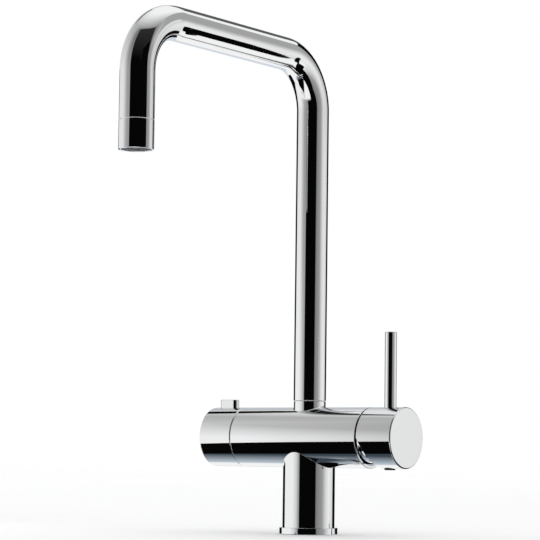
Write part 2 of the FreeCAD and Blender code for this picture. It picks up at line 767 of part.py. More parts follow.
def make_spindle():
    """Brass spindle: tongue in the moving disc, foot, stop lug, clip groove and the knob's end."""
    half_tongue = spindle_tongue_width / 2
    reach_of_tongue = headwork_bore / 2 - loose_clearance
    foot = along_x(foot_start, foot_end, headwork_bore - 2 * running_clearance)
    tongue = block(
        (foot_start, tongue_start), (-reach_of_tongue, reach_of_tongue),
        (axis_height - half_tongue, axis_height + half_tongue))
    tongue = tongue.common(along_x(foot_start, tongue_start, headwork_bore - 2 * running_clearance))
    shaft = along_x(foot_end, shoulder_x, spindle_diameter)
    end = along_x(shoulder_x, spindle_end, spindle_end_diameter)
    lug_outer = stop_collar_diameter / 2 - edge_break
    lug = collar_sector(-stop_lug_half, 2 * stop_lug_half, spindle_diameter / 4, lug_outer,
                        collar_face + running_clearance, hex_face - running_clearance)
    spindle = fuse(foot, tongue, shaft, end, lug)
    groove_floor = spindle_diameter - 2 * clip_groove_depth
    spindle = spindle.cut(ring_x(clip_start, clip_end, 2 * spindle_diameter, groove_floor))
    for x in spindle_o_ring_places:
        half = o_ring_section / 2 + running_clearance
        depth = spindle_diameter - 2 * o_ring_section - 2 * running_clearance
        spindle = spindle.cut(ring_x(x - half, x + half, 2 * spindle_diameter, depth))
    return spindle


def make_spindle_o_rings():
    """Two O-rings in the spindle's grooves."""
    rings = [o_ring(Vector(x, 0, axis_height), X, spindle_diameter) for x in spindle_o_ring_places]
    return Part.Compound(rings)


def make_spindle_clip():
    """Steel clip in the spindle's groove, against the end of the stop collar."""
    inner = spindle_diameter - 2 * clip_groove_depth + 2 * fast_clearance
    start = clip_start - fast_clearance
    end = clip_end + fast_clearance
    clip = ring_x(start, end, clip_diameter, inner)
    mouth = block(
        (end, start), (-spindle_diameter / 4, spindle_diameter / 4),
        (axis_height - clip_diameter, axis_height))
    return clip.cut(mouth)


def make_valve_seal():
    """Rubber seat seal between the barrel's floor and the fixed disc."""
    outer = headwork_bore - 2 * running_clearance
    return ring_x(valve_floor, valve_fixed_start, outer, valve_seal_bore)


def valve_disc(start):
    """Ceramic disc with two opposed round ports."""
    end = start - valve_disc_thickness
    disc = along_x(start, end, headwork_bore - 2 * running_clearance)
    offset = headwork_bore / 4
    for z in (offset, -offset):
        disc = disc.cut(along_x(start, end, valve_disc_port, 0, z))
    return disc


def make_valve_fixed_disc():
    """Ceramic disc held still in the headwork."""
    return valve_disc(valve_fixed_start)


def make_valve_moving_disc():
    """Ceramic disc turned a quarter by the spindle's tongue; shut at rest."""
    disc = valve_disc(valve_moving_start)
    disc.rotate(Vector(0, 0, axis_height), X, shutoff_range)
    half = spindle_tongue_width / 2 + running_clearance
    slot = block(
        (valve_moving_end, tongue_start + running_clearance), (-headwork_bore, headwork_bore),
        (axis_height - half, axis_height + half))
    return disc.cut(slot)


def make_guide_ring():
    """Plastic ring clamped on the barrel's left face, which the knob's bore turns on."""
    outer = knob_bore - 4 * running_clearance
    return ring_x(left_face, guide_ring_face, outer, headwork_diameter + 2 * running_clearance)


def make_knob_insert():
    """Moulded insert that joins the knob's shell to the spindle."""
    outer = knob_bore / 2 - fast_clearance
    boss = insert_boss_diameter / 2
    bore = spindle_end_diameter / 2 + fast_clearance
    bore_end = spindle_end - loose_clearance
    insert = turned_x([
        (insert_start, bore), (insert_start, boss), (insert_web_start, boss), (insert_web_start, outer),
        (knob_floor, outer), (knob_floor, 0), (bore_end, 0), (bore_end, bore)])
    screw_hole = along_z(axis_height - insert_boss_diameter, axis_height,
                         knob_screw_diameter + 2 * fast_clearance, knob_screw_x)
    return insert.cut(screw_hole)


def obround(length, width, foot, top, x):
    """Upright prism with full-round ends, long along X."""
    half = (length - width) / 2
    core = block((x - half, x + half), (-width / 2, width / 2), (foot, top))
    return fuse(core, along_z(foot, top, width, x - half), along_z(foot, top, width, x + half))


def make_knob_shell():
    """Knob shell with the pocket for its tab and the key hole for its set screw."""
    shell = turned_x([
        (knob_start, knob_bore / 2), (knob_start, barrel_radius - edge_break),
        (knob_start - edge_break, barrel_radius), (knob_end + knob_edge, barrel_radius),
        (knob_end, barrel_radius - knob_edge), (knob_end, 0), (knob_floor, 0), (knob_floor, knob_bore / 2)])
    grow = 2 * fast_clearance
    tab_pocket = obround(
        tab_length + grow, tab_width + grow, axis_height + barrel_radius - tab_sink,
        axis_height + barrel_diameter, tab_x)
    key_hole = along_z(axis_height - barrel_diameter, axis_height - knob_bore / 4,
                       knob_screw_diameter + 2 * fast_clearance, knob_screw_x)
    return shell.cut(tab_pocket).cut(key_hole)


def make_knob_tab():
    """Finger tab let into the top of the knob."""
    foot = axis_height + barrel_radius - tab_sink + fast_clearance
    top = axis_height + barrel_radius + tab_rise
    tab = obround(tab_length, tab_width, foot, top, tab_x)
    rim = [edge for edge in tab.Edges if edge.BoundBox.ZMin > top - edge_break]
    return tab.makeChamfer(edge_break, rim)


def make_knob_screw():
    """Set screw that holds the insert on the spindle, with its hex socket."""
    top = axis_height - spindle_end_diameter / 2 - fast_clearance
    foot = top - knob_screw_length
    screw = along_z(foot, top, knob_screw_diameter, knob_screw_x)
    across = knob_screw_diameter / 2
    return screw.cut(key_socket(foot, across, across, knob_screw_x))


def spout_path():
    """Centre line: up the column, over the arm and down to the outlet."""
    arm_start = -bend_radius
    arm_end = -reach + bend_radius
    shoulder = arm_height - bend_radius
    drop = bend_radius * math.sin(math.radians(45))
    rear_middle = Vector(0, arm_start + drop, shoulder + drop)
    front_middle = Vector(0, arm_end - drop, shoulder + drop)
    points = [Vector(0, 0, tube_start), Vector(0, 0, shoulder), Vector(0, arm_start, arm_height),
              Vector(0, arm_end, arm_height), Vector(0, -reach, shoulder), Vector(0, -reach, tube_end)]
    return Part.Wire([
        Part.LineSegment(points[0], points[1]).toShape(),
        Part.Arc(points[1], rear_middle, points[2]).toShape(),
        Part.LineSegment(points[2], points[3]).toShape(),
        Part.Arc(points[3], front_middle, points[4]).toShape(),
        Part.LineSegment(points[4], points[5]).toShape()])


def swept(diameter):
    """Solid rod of the given diameter along the spout's centre line."""
    circle = Part.Wire([Part.Circle(Vector(0, 0, tube_start), Z, diameter / 2).toShape()])
    return spout_path().makePipeShell([circle], True, False)


def make_spout_tube():
    """Bent brass tube in a square U."""
    return swept(tube_diameter).cut(swept(tube_bore))


def make_spout_spigot():
    """Turned spigot brazed into the tube's foot, with seal grooves and the swivel stop's groove."""
    radius = spigot_diameter / 2
    tail_radius = tube_bore / 2 - running_clearance
    water = spigot_water_bore / 2
    tail_top = tube_start + spigot_tail
    spigot = turned_z([
        (water, spigot_start), (radius, spigot_start), (radius, tube_start), (tail_radius, tube_start),
        (tail_radius, tail_top), (water, tail_top)])
    groove_floor = spigot_diameter - 2 * o_ring_section - 2 * running_clearance
    half = o_ring_section / 2 + running_clearance
    for height in spout_o_ring_heights:
        spigot = spigot.cut(ring_z(height - half, height + half, 2 * spigot_diameter, groove_floor))
    tip_half = lock_tip_diameter / 2 + face_clearance
    tip_angle = math.degrees(math.asin(tip_half / (radius - lock_groove_depth)))
    sweep = 2 * (swivel_range + tip_angle)
    slot_half = lock_tip_diameter / 2 + running_clearance
    points = [Vector(0, r, lock_height + side * slot_half)
              for r, side in ((radius - lock_groove_depth, -1), (neck_diameter, -1),
                              (neck_diameter, 1), (radius - lock_groove_depth, 1))]
    groove = turned(points, NONE, Z, sweep)
    groove.rotate(NONE, Z, -sweep / 2)
    return spigot.cut(groove)


def make_spout_o_rings():
    """Two O-rings in the spigot's grooves."""
    rings = [o_ring(Vector(0, 0, height), Z, spigot_diameter) for height in spout_o_ring_heights]
    return Part.Compound(rings)


def make_slide_ring():
    """Plastic slide ring in the neck's counterbore, which the tube's foot turns on."""
    outer = slide_ring_seat - 2 * fast_clearance
    inner = socket_bore
    return ring_z(neck_top - slide_ring_depth, neck_top + slide_ring_proud, outer, inner)


def make_lower_bush():
    """Plastic washer on the socket's ledge under the spigot."""
    outer = socket_bore - 2 * fast_clearance
    return ring_z(ledge_height, ledge_height + lower_bush_height, outer, chamber_bore)


def make_lock_screw():
    """Grub screw in the back of the neck; its tip in the spigot's groove limits the swivel."""
    head_start = socket_bore / 2 + running_clearance
    head_end = neck_radius - edge_break
    tip_start = spigot_diameter / 2 - lock_groove_depth + loose_clearance
    head = along_y(head_start, head_end, lock_screw_diameter - 2 * fast_clearance, 0, lock_height)
    tip = along_y(tip_start, head_start, lock_tip_diameter, 0, lock_height)
    socket = key_socket(0, lock_screw_diameter / 2, (head_end - head_start) / 2, 0)
    socket.rotate(NONE, X, 90)
    socket.translate(Vector(0, head_end, lock_height))
    return fuse(head, tip).cut(socket)


def make_sleeve():
    """Outlet sleeve of the tube's own diameter, with a tail inside the tube and a ledge for the aerator."""
    radius = tube_diameter / 2
    bore = sleeve_bore / 2
    tail = tube_bore / 2 - running_clearance
    return turned_z([
        (bore + edge_break, outlet_height), (radius - edge_break, outlet_height),
        (radius, outlet_height + edge_break), (radius, sleeve_top - edge_break / 2),
        (radius - edge_break / 2, sleeve_top), (tail, sleeve_top), (tail, sleeve_top + sleeve_tail),
        (sleeve_tail_bore / 2, sleeve_top + sleeve_tail), (sleeve_tail_bore / 2, ledge_face),
        (bore, ledge_face), (bore, outlet_height + edge_break)]).translated(outlet_place)


def make_aerator_seal():
    """Rubber washer between the sleeve's ledge and the aerator."""
    return ring_z(seal_bottom, ledge_face, aerator_diameter, sleeve_tail_bore, -reach)


def make_aerator_housing():
    """Moulded aerator body with a lip below for the outlet grid."""
    outer = aerator_diameter / 2
    inner = aerator_bore / 2
    lip = inner - aerator_wall / 2
    lip_top = aerator_bottom + aerator_wall / 2
    return turned_z([
        (lip, aerator_bottom), (outer, aerator_bottom), (outer, seal_bottom), (inner, seal_bottom),
        (inner, lip_top), (lip, lip_top)]).translated(outlet_place)


def make_aerator_grid():
    """Honeycomb outlet grid that straightens the stream."""
    plate = along_z(grid_bottom, grid_bottom + grid_thickness, aerator_bore - 2 * running_clearance)
    holes = []
    for row in range(-grid_rings, grid_rings + 1):
        first = max(-grid_rings, -grid_rings - row)
        last = min(grid_rings, grid_rings - row)
        for column in range(first, last + 1):
            x = grid_pitch * (column + row / 2)
            y = grid_pitch * row * math.cos(math.pi / 6)
            points = [Vector(x + v, y + u, grid_bottom) for u, v in hexagon(grid_hole)]
            holes.append(prism(points, Vector(0, 0, grid_thickness)))
    return plate.cut(holes).translated(outlet_place)


def make_aerator_diffuser():
    """Perforated plate that splits the flow; it stands on a ring of its own above the grid."""
    outer = aerator_bore - 2 * running_clearance
    plate = along_z(diffuser_bottom, strainer_foot, outer)
    skirt = ring_z(grid_bottom + grid_thickness, diffuser_bottom, outer, outer - 2 * aerator_wall)
    circle = outer / 2 - aerator_wall - diffuser_hole
    holes = []
    for step in range(diffuser_holes):
        turn = 2 * math.pi * step / diffuser_holes
        holes.append(along_z(diffuser_bottom, strainer_foot, diffuser_hole,
                             circle * math.cos(turn), circle * math.sin(turn)))
    return fuse(plate, skirt).cut(holes).translated(outlet_place)


def make_aerator_strainer():
    """Domed strainer on the diffuser."""
    radius = sleeve_tail_bore / 2 - loose_clearance
    ball = (radius ** 2 + strainer_rise ** 2) / (2 * strainer_rise)
    centre = Vector(0, 0, strainer_foot + strainer_rise - ball)
    cap = Part.makeSphere(ball, centre).cut(Part.makeSphere(ball - strainer_wall, centre))
    above_foot = along_z(strainer_foot, strainer_foot + strainer_rise, 4 * radius)
    return cap.common(above_foot).translated(outlet_place)


pieces = {
    "body_barrel": make_barrel,
    "pillar": make_pillar,
    "base_ring": make_base_ring,
    "base_gasket": make_base_gasket,
    "cartridge_base": make_cartridge_base,
    "cartridge_base_seals": make_base_seals,
    "cartridge_fixed_disc": make_fixed_disc,
    "cartridge_moving_disc": make_moving_disc,
    "cartridge_disc_driver": make_disc_driver,
    "cartridge_housing": make_cartridge_housing,
    "cartridge_carrier": make_carrier,
    "cartridge_pivot_pin": make_pivot_pin,
    "cartridge_stem": make_stem,
    "cartridge_nut": make_cartridge_nut,
    "cartridge_dome": make_dome,
    "handle_hub": make_handle_hub,
    "handle_lever": make_lever,
    "handle_set_screw": make_handle_screw,
    "handle_plug": make_plug,
    "shutoff_headwork": make_headwork,
    "shutoff_seat_seal": make_valve_seal,
    "shutoff_fixed_disc": make_valve_fixed_disc,
    "shutoff_moving_disc": make_valve_moving_disc,
    "shutoff_spindle": make_spindle,
    "shutoff_spindle_o_rings": make_spindle_o_rings,
    "shutoff_spindle_clip": make_spindle_clip,
    "knob_guide_ring": make_guide_ring,
    "knob_insert": make_knob_insert,
    "knob_shell": make_knob_shell,
    "knob_tab": make_knob_tab,
    "knob_set_screw": make_knob_screw,
    "spout_tube": make_spout_tube,
    "spout_spigot": make_spout_spigot,
    "spout_o_rings": make_spout_o_rings,
    "spout_slide_ring": make_slide_ring,
    "spout_lower_bush": make_lower_bush,
    "spout_lock_screw": make_lock_screw,
    "outlet_sleeve": make_sleeve,
    "aerator_seal": make_aerator_seal,
    "aerator_housing": make_aerator_housing,
    "aerator_grid": make_aerator_grid,
    "aerator_diffuser": make_aerator_diffuser,
    "aerator_strainer": make_aerator_strainer,
}

os.makedirs("parts", exist_ok=True)
for name, make in pieces.items():
    make().exportStep(f"parts/{name}.step")
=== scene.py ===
"""Looks, studio and camera of a kitchen mixer tap in polished chrome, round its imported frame, in metres."""
import json
import math

import bmesh
import bpy
from mathutils import Color, Matrix, Vector
from mathutils.geometry import delaunay_2d_cdt


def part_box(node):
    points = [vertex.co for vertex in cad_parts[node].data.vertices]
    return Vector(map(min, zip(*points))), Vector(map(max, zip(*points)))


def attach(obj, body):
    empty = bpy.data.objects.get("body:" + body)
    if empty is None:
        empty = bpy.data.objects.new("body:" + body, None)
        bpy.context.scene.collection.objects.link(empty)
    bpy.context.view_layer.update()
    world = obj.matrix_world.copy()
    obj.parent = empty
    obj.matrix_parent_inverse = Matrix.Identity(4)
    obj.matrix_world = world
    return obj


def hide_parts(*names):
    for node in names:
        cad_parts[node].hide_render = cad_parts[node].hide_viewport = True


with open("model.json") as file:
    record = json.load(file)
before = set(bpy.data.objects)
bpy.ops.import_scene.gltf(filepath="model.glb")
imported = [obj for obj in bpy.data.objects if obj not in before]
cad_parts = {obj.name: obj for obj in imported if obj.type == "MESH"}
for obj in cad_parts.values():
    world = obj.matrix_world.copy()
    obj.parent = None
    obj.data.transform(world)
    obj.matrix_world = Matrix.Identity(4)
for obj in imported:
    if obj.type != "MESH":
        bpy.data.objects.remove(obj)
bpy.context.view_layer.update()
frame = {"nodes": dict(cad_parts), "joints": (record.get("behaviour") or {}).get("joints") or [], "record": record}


# Base gasket and every other rubber seal
# Moulded black rubber: the flat gasket lies in the base ring's groove and seals it on the deck,
# and the O-rings and port seals sit in grooves inside. They have a matt, slightly dusty skin.
class Wire:
    """Socket in a node tree. Arithmetic on wires adds Math nodes, and node() adds any other node."""

    def __init__(self, tree, socket):
        self.tree = tree
        self.socket = socket

    def node(self, kind, settings, sockets, output=0):
        node = self.tree.nodes.new(kind)
        for name, value in settings.items():
            if name == "stops":
                place_stops(node.color_ramp.elements, value)
            else:
                setattr(node, name, value)
        plug_in(self.tree, node, sockets)
        return Wire(self.tree, node.outputs[output])

    def math(self, operation, left, right):
        return self.node("ShaderNodeMath", {"operation": operation}, {0: left, 1: right})

    def __add__(self, other):
        return self.math("ADD", self, other)

    def __sub__(self, other):
        return self.math("SUBTRACT", self, other)

    def __rsub__(self, other):
        return self.math("SUBTRACT", other, self)

    def __mul__(self, other):
        return self.math("MULTIPLY", self, other)

    __radd__ = __add__
    __rmul__ = __mul__


def place_stops(elements, stops):
    """Set a ramp's stops from pairs of place and colour."""
    while len(elements) < len(stops):
        elements.new(1.0)
    while len(elements) > len(stops):
        elements.remove(elements[-1])
    for element, (place, colour) in zip(elements, stops):
        element.position = place
        element.color = colour


def plug_in(tree, node, sockets):
    """Set a node's sockets to values, or link wires to them."""
    for name, value in sockets.items():
        if isinstance(value, Wire):
            tree.links.new(value.socket, node.inputs[name])
        else:
            node.inputs[name].default_value = value


def finish(name, recipe):
    """Material whose Principled sockets come from recipe(place), where place is the Object coordinate."""
    material = bpy.data.materials.new(name)
    material.use_nodes = True
    tree = material.node_tree
    place = Wire(tree, tree.nodes.new("ShaderNodeTexCoord").outputs["Object"])
    plug_in(tree, tree.nodes["Principled BSDF"], recipe(place))
    return material


def cloud(place, grains_per_metre, detail=2.0):
    """Soft noise from 0 to 1 with about so many grains to the metre."""
    return place.node("ShaderNodeTexNoise", {}, {
        "Vector": place, "Scale": grains_per_metre, "Detail": detail})


def blend(share, low, high):
    """Colour that goes from low to high with the share."""
    ends = {0: share, 6: (*low, 1.0), 7: (*high, 1.0)}
    return share.node("ShaderNodeMix", {"data_type": "RGBA"}, ends, 2)


def relief(height, metres):
    """Normal of a surface whose height varies from 0 to 1 over the given depth."""
    return height.node("ShaderNodeBump", {}, {"Height": height, "Distance": metres, "Strength": 1.0})


def rubber_recipe(place):
    dust = cloud(place, 900.0)
    grain = cloud(place, 5000.0)
    return {
        "Base Color": blend(dust, (0.018, 0.018, 0.019), (0.045, 0.044, 0.043)),
        "Roughness": 0.62 + 0.25 * dust,
        "Specular IOR Level": 0.35,
        "Normal": relief(grain, 0.00002)}


slot_of_node = {part["node"]: part["material_slot"] for part in frame["record"]["subparts"]}


def dress(slot, material):
    """Give every node of a slot its material."""
    for name, node in frame["nodes"].items():
        if slot_of_node[name] == slot:
            node.data.materials.clear()
            node.data.materials.append(material)


rubber = finish("moulded_rubber", rubber_recipe)
dress("rubber", rubber)


# Base ring
# Turned brass ring, polished and chromed like the barrel and the spout. The pillar's shoulder clamps it
# on the deck; its edges are just broken, so that they catch a thin line of light.
def chrome_recipe(place):
    haze = cloud(place, 40.0, 3.0)
    bloom = cloud(place, 9.0)
    return {
        "Base Color": blend(bloom, (0.90, 0.905, 0.915), (0.93, 0.935, 0.94)),
        "Metallic": 1.0,
        "Roughness": 0.012 + 0.03 * haze,
        "Normal": relief(bloom, 0.00001)}


chrome = finish("polished_chrome", chrome_recipe)
dress("chrome", chrome)

mm = 0.001
edge_break = 0.4 * mm
X_AXIS = Vector((1, 0, 0))
Y_AXIS = Vector((0, 1, 0))
Z_AXIS = Vector((0, 0, 1))
upright = (X_AXIS, Y_AXIS, Z_AXIS)
lying = (Y_AXIS, Z_AXIS, X_AXIS)
turn_steps = 192
full_turn = [(2 * math.pi * step / turn_steps, Vector()) for step in range(turn_steps)]
arc_steps = 6


def rounded(corners):
    """Points of a closed outline, each with the outward normal before and after it.

    A corner is (radius, height) or (radius, height, rounding), with the solid on the left of the way round.
    """
    points = []
    for number, (radius, height, *rounding) in enumerate(corners):
        here = Vector((radius, height))
        came = (here - Vector(corners[number - 1][:2])).normalized()
        goes = (Vector(corners[(number + 1) % len(corners)][:2]) - here).normalized()
        before = Vector((came.y, -came.x))
        after = Vector((goes.y, -goes.x))
        if not rounding:
            points.append((here, before, after))
            continue
        turn = math.atan2(came.cross(goes), came.dot(goes))
        reach = math.copysign(rounding[0], turn)
        centre = here - came * rounding[0] * math.tan(abs(turn) / 2) - before * reach
        for step in range(arc_steps + 1):
            normal = Matrix.Rotation(turn * step / arc_steps, 2) @ before
            points.append((centre + normal * reach, normal, normal))
    return points


def stations(corners, origin, axes, turns=full_turn):
    """Rings of an outline turned about an axis: points, normals before and normals after."""
    across, up, along = axes
    rings = []
    for here, before, after in rounded(corners):
        spokes = [across * math.cos(angle) + up * math.sin(angle) for angle, shift in turns]
        points = [origin + shift + spoke * here.x + along * here.y
                  for spoke, (angle, shift) in zip(spokes, turns)]
        rings.append((points, *([spoke * normal.x + along * normal.y for spoke in spokes]
                                for normal in (before, after))))
    return rings


touching = 1e-8


class Skin:
    """Closed surface of a piece while it is put together, with a given normal at each face's corners."""

    def __init__(self):
        self.points = []
        self.faces = []
        self.normals = []

    def ring(self, points):
        """Numbers of a ring's points; neighbours in one place, as at a pole, share a number."""
        if isinstance(points[0], int):
            return points
        numbers = []
        for point in points:
            same = numbers and (point - self.points[-1]).length < touching
            if not same:
                self.points.append(point)
            numbers.append(len(self.points) - 1)
        return numbers

    def face(self, numbers, normals):
        """Add a face without the corners that have merged."""
        kept = [k for k in range(len(numbers)) if numbers[k] != numbers[k - 1]]
        if len(kept) > 2:
            self.faces.append([numbers[k] for k in kept])
            self.normals.extend(normals[k] for k in kept)

    def strip(self, first, first_normals, second, second_normals, open_steps=()):
        """Faces from one ring to the next, apart from the steps that a window leaves open."""
        for here in range(len(first)):
            there = (here + 1) % len(first)
            if here not in open_steps:
                self.face([first[here], first[there], second[there], second[here]],
                          [first_normals[here], first_normals[there], second_normals[there],
                           second_normals[here]])

    def loft(self, rings, windows=(), closed=False):
        """Faces from ring to ring, apart from the windows; gives the numbers of the rings' points.

        A ring is (points, normals before, normals after), and its points may be numbers of earlier ones.
        """
        numbers = [self.ring(points) for points, before, after in rings]
        for row in range(len(rings) - (not closed)):
            following = (row + 1) % len(rings)
            open_steps = set()
            for rows, steps in windows:
                if rows[0] <= row < rows[-1]:
                    open_steps.update(steps[:-1])
            self.strip(numbers[row], rings[row][2], numbers[following], rings[following][1], open_steps)
        return numbers

    def piece(self, name, material):
        """Finished mesh object."""
        mesh = bpy.data.meshes.new(name)
        mesh.from_pydata(self.points, [], self.faces)
        mesh.polygons.foreach_set("use_smooth", [True] * len(self.faces))
        mesh.normals_split_custom_set(self.normals)
        mesh.materials.append(material)
        piece = bpy.data.objects.new(name, mesh)
        bpy.context.scene.collection.objects.link(piece)
        return piece


def turned(name, corners, origin, axes, material, turns=full_turn):
    """Piece turned from one closed outline."""
    skin = Skin()
    skin.loft(stations(corners, origin, axes, turns), closed=corners[0][0] > 0)
    return skin.piece(name, material)


def stand_for(piece, body, node):
    """Let a piece take the place of a node, on its body."""
    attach(piece, body)
    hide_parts(node)


def half_size(node):
    """Half of a node's box along each axis."""
    low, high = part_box(node)
    return (high - low) / 2


ring_radius = half_size("base_ring").x
ring_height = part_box("base_ring")[1].z
gasket_radius = half_size("base_gasket").x
gasket_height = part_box("base_gasket")[1].z
gasket_width = 1.6 * mm
pillar_radius = half_size("pillar").x
foot_radius = pillar_radius - 1.0 * mm
foot_height = 3.1 * mm
fit = 0.05 * mm
base_ring = turned("base_ring_polished", [
    (foot_radius + fit, 0),
    (gasket_radius + fit - gasket_width, 0),
    (gasket_radius + fit - gasket_width, gasket_height),
    (gasket_radius + fit, gasket_height),
    (gasket_radius + fit, 0),
    (ring_radius, 0, edge_break),
    (ring_radius, ring_height, edge_break),
    (pillar_radius + fit, ring_height, edge_break / 2),
    (pillar_radius + fit, foot_height),
    (foot_radius + fit, foot_height)], Vector(), upright, chrome)
stand_for(base_ring, "base", "base_ring")


# Pillar
# Chromed brass tube, saddle-cut at the top to the barrel and brazed to it. The foot is threaded inside
# for the fixing shank, and the hoses go up through it.
joint_places = {joint["name"]: Vector(joint["pos_m"]) for joint in frame["joints"] if "pos_m" in joint}
axis_height = joint_places["shutoff_turn"].z
barrel_axis = Vector((0, 0, axis_height))
barrel_radius = half_size("knob_shell").y
pillar_wall = 3.15 * mm
hose_bore = pillar_radius - pillar_wall
mounts = {mount["name"]: mount for mount in frame["record"]["mounts"]}
deck_thread = mounts["deck_thread"]["dims"]
thread_length = deck_thread["length_mm"] * mm
thread_depth = 0.6 * mm
thread_bore = deck_thread["r_mm"] * mm + thread_depth
pillar_rings = stations([
    (thread_bore, 0, edge_break),
    (foot_radius, 0),
    (foot_radius, foot_height),
    (pillar_radius, foot_height, edge_break / 2),
    (pillar_radius, axis_height),
    (hose_bore, axis_height),
    (hose_bore, thread_length),
    (thread_bore, thread_length)], Vector(), upright)
for points, before, after in pillar_rings:
    for point in points:
        if point.z > axis_height - edge_break:
            point.z -= math.sqrt((barrel_radius + fit) ** 2 - point.y ** 2)
pillar_skin = Skin()
pillar_skin.loft(pillar_rings, closed=True)
pillar = pillar_skin.piece("pillar_polished", chrome)
stand_for(pillar, "base", "pillar")


# Threads of the foot and of the hose ports
# Cut in the brass: a large thread for the fixing shank, and three small ones for the hoses.
# Each is a ridge that winds up its bore.
def tree_with(name, sizes, sockets):
    """Geometry Nodes tree with named inputs, and a wire for each of them."""
    tree = bpy.data.node_groups.new(name, "GeometryNodeTree")
    tree.interface.new_socket("Mesh", in_out="OUTPUT", socket_type="NodeSocketGeometry")
    for size in sizes:
        tree.interface.new_socket(size, in_out="INPUT", socket_type="NodeSocketFloat")
    for socket, kind in sockets.items():
        tree.interface.new_socket(socket, in_out="INPUT", socket_type=kind)
    entry = tree.nodes.new("NodeGroupInput")
    wires = {socket.name: Wire(tree, socket) for socket in entry.outputs if socket.name}
    return tree, wires


def close_tree(tree, mesh, material):
    """End a tree with realized, smooth geometry in its finish."""
    whole = mesh.node("GeometryNodeRealizeInstances", {}, {"Geometry": mesh})
    smooth = whole.node("GeometryNodeSetShadeSmooth", {}, {"Geometry": whole})
    coated = smooth.node("GeometryNodeSetMaterial", {}, {"Geometry": smooth, "Material": material})
    plug_in(tree, tree.nodes.new("NodeGroupOutput"), {"Mesh": coated})


def grown(name, tree, values):
    """Plain mesh object from a Geometry Nodes tree with its named inputs set."""
    piece = bpy.data.objects.new(name, bpy.data.meshes.new(name))
    bpy.context.scene.collection.objects.link(piece)
    modifier = piece.modifiers.new(name, "NODES")
    modifier.node_group = tree
    for item in tree.interface.items_tree:
        if item.in_out == "INPUT":
            modifier[item.identifier] = values[item.name]
    evaluated = piece.evaluated_get(bpy.context.evaluated_depsgraph_get())
    mesh = bpy.data.meshes.new_from_object(evaluated)
    piece.modifiers.remove(modifier)
    piece.data = mesh
    return piece


helix_steps = 48
ridge_sides = 4
thread_tree, size = tree_with("thread", ["Bore", "Depth", "Pitch", "Length"], {
    "Foot": "NodeSocketVector", "Finish": "NodeSocketMaterial"})
turns_of_thread = size["Length"].math("DIVIDE", size["Length"] - 2 * size["Depth"], size["Pitch"])
helix = size["Bore"].node("GeometryNodeCurveSpiral", {}, {
    "Resolution": helix_steps, "Rotations": turns_of_thread, "Start Radius": size["Bore"],
    "End Radius": size["Bore"], "Height": size["Length"] - 2 * size["Depth"]})
level = helix.node("GeometryNodeSetCurveNormal", {"mode": "Z_UP"}, {"Curve": helix})
ridge = level.node("GeometryNodeCurvePrimitiveCircle", {}, {
    "Resolution": ridge_sides, "Radius": size["Depth"]})
wound = level.node("GeometryNodeCurveToMesh", {}, {
    "Curve": level, "Profile Curve": ridge, "Fill Caps": True})
raised = wound.node("GeometryNodeTransform", {}, {"Geometry": wound, "Translation": size["Foot"]})
close_tree(thread_tree, raised, size["Finish"])

thread_pitch = 1.5 * mm
port_thread_pitch = 1.0 * mm
port_thread_depth = 0.54 * mm
port_thread = mounts["hot_inlet_port"]["dims"]
port_depth = port_thread["length_mm"] * mm
port_bore = port_thread["r_mm"] * mm + port_thread_depth
port_places = [Vector(mount["pos_m"]) for name, mount in mounts.items() if name.endswith("port")]


def brass_recipe(place):
    rings = cloud(place, 2600.0, 1.0)
    tarnish = cloud(place, 120.0, 3.0)
    return {
        "Base Color": blend(tarnish, (0.72, 0.55, 0.26), (0.80, 0.64, 0.36)),
        "Metallic": 1.0,
        "Roughness": 0.24 + 0.12 * tarnish + 0.08 * rings,
        "Normal": relief(rings, 0.000004)}


brass = finish("turned_brass", brass_recipe)
dress("brass", brass)

foot_thread = grown("foot_thread", thread_tree, {
    "Bore": thread_bore, "Depth": thread_depth, "Pitch": thread_pitch, "Length": thread_length,
    "Foot": Z_AXIS * thread_depth, "Finish": brass})
port_threads = [grown(f"port_thread_{number + 1}", thread_tree, {
    "Bore": port_bore, "Depth": port_thread_depth, "Pitch": port_thread_pitch, "Length": port_depth,
    "Foot": place + Z_AXIS * port_thread_depth, "Finish": brass})
    for number, place in enumerate(port_places)]
for thread in (foot_thread, *port_threads):
    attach(thread, "base")


# Barrel with the spout's neck
# One brass body, turned outside and cored inside, polished and chromed. The neck stands on it with a
# small rolled corner; the boss below plugs into the pillar and holds the hose ports.
left_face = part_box("body_barrel")[0].x
right_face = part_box("body_barrel")[1].x
loose = 0.3 * mm
snug = 0.02 * mm
nut_bore = half_size("cartridge_nut").y + fit
nut_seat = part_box("cartridge_nut")[0].x - loose
cartridge_bore = half_size("cartridge_housing").y + loose
cartridge_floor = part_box("cartridge_base_seals")[0].x
headwork_bore = 10.05 * mm
valve_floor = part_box("shutoff_seat_seal")[1].x
window_half = 18.5 * mm
seam_edge = 0.7 * mm
window_rows = 28
barrel_corners = [
    (headwork_bore, left_face),
    (barrel_radius, left_face, seam_edge),
    *((barrel_radius, window_half * (2 * row / window_rows - 1)) for row in range(window_rows + 1)),
    (barrel_radius, right_face, edge_break),
    (nut_bore, right_face),
    (nut_bore, nut_seat),
    (cartridge_bore, nut_seat),
    (cartridge_bore, cartridge_floor),
    (0, cartridge_floor),
    (0, valve_floor),
    (headwork_bore, valve_floor)]


tiny = 1e-7


def rows_on(corners, radius, low, high):
    """Numbers of the rings of an outline that lie on a wall between two places along its axis."""
    return [number for number, (here, before, after) in enumerate(rounded(corners))
            if here.x > radius - tiny and low - tiny < here.y < high + tiny]


def steps_round(quarter, half):
    """Steps of a full turn on both sides of a whole number of quarter turns."""
    middle = quarter * len(full_turn) // 4
    return list(range(middle - half, middle + half + 1))


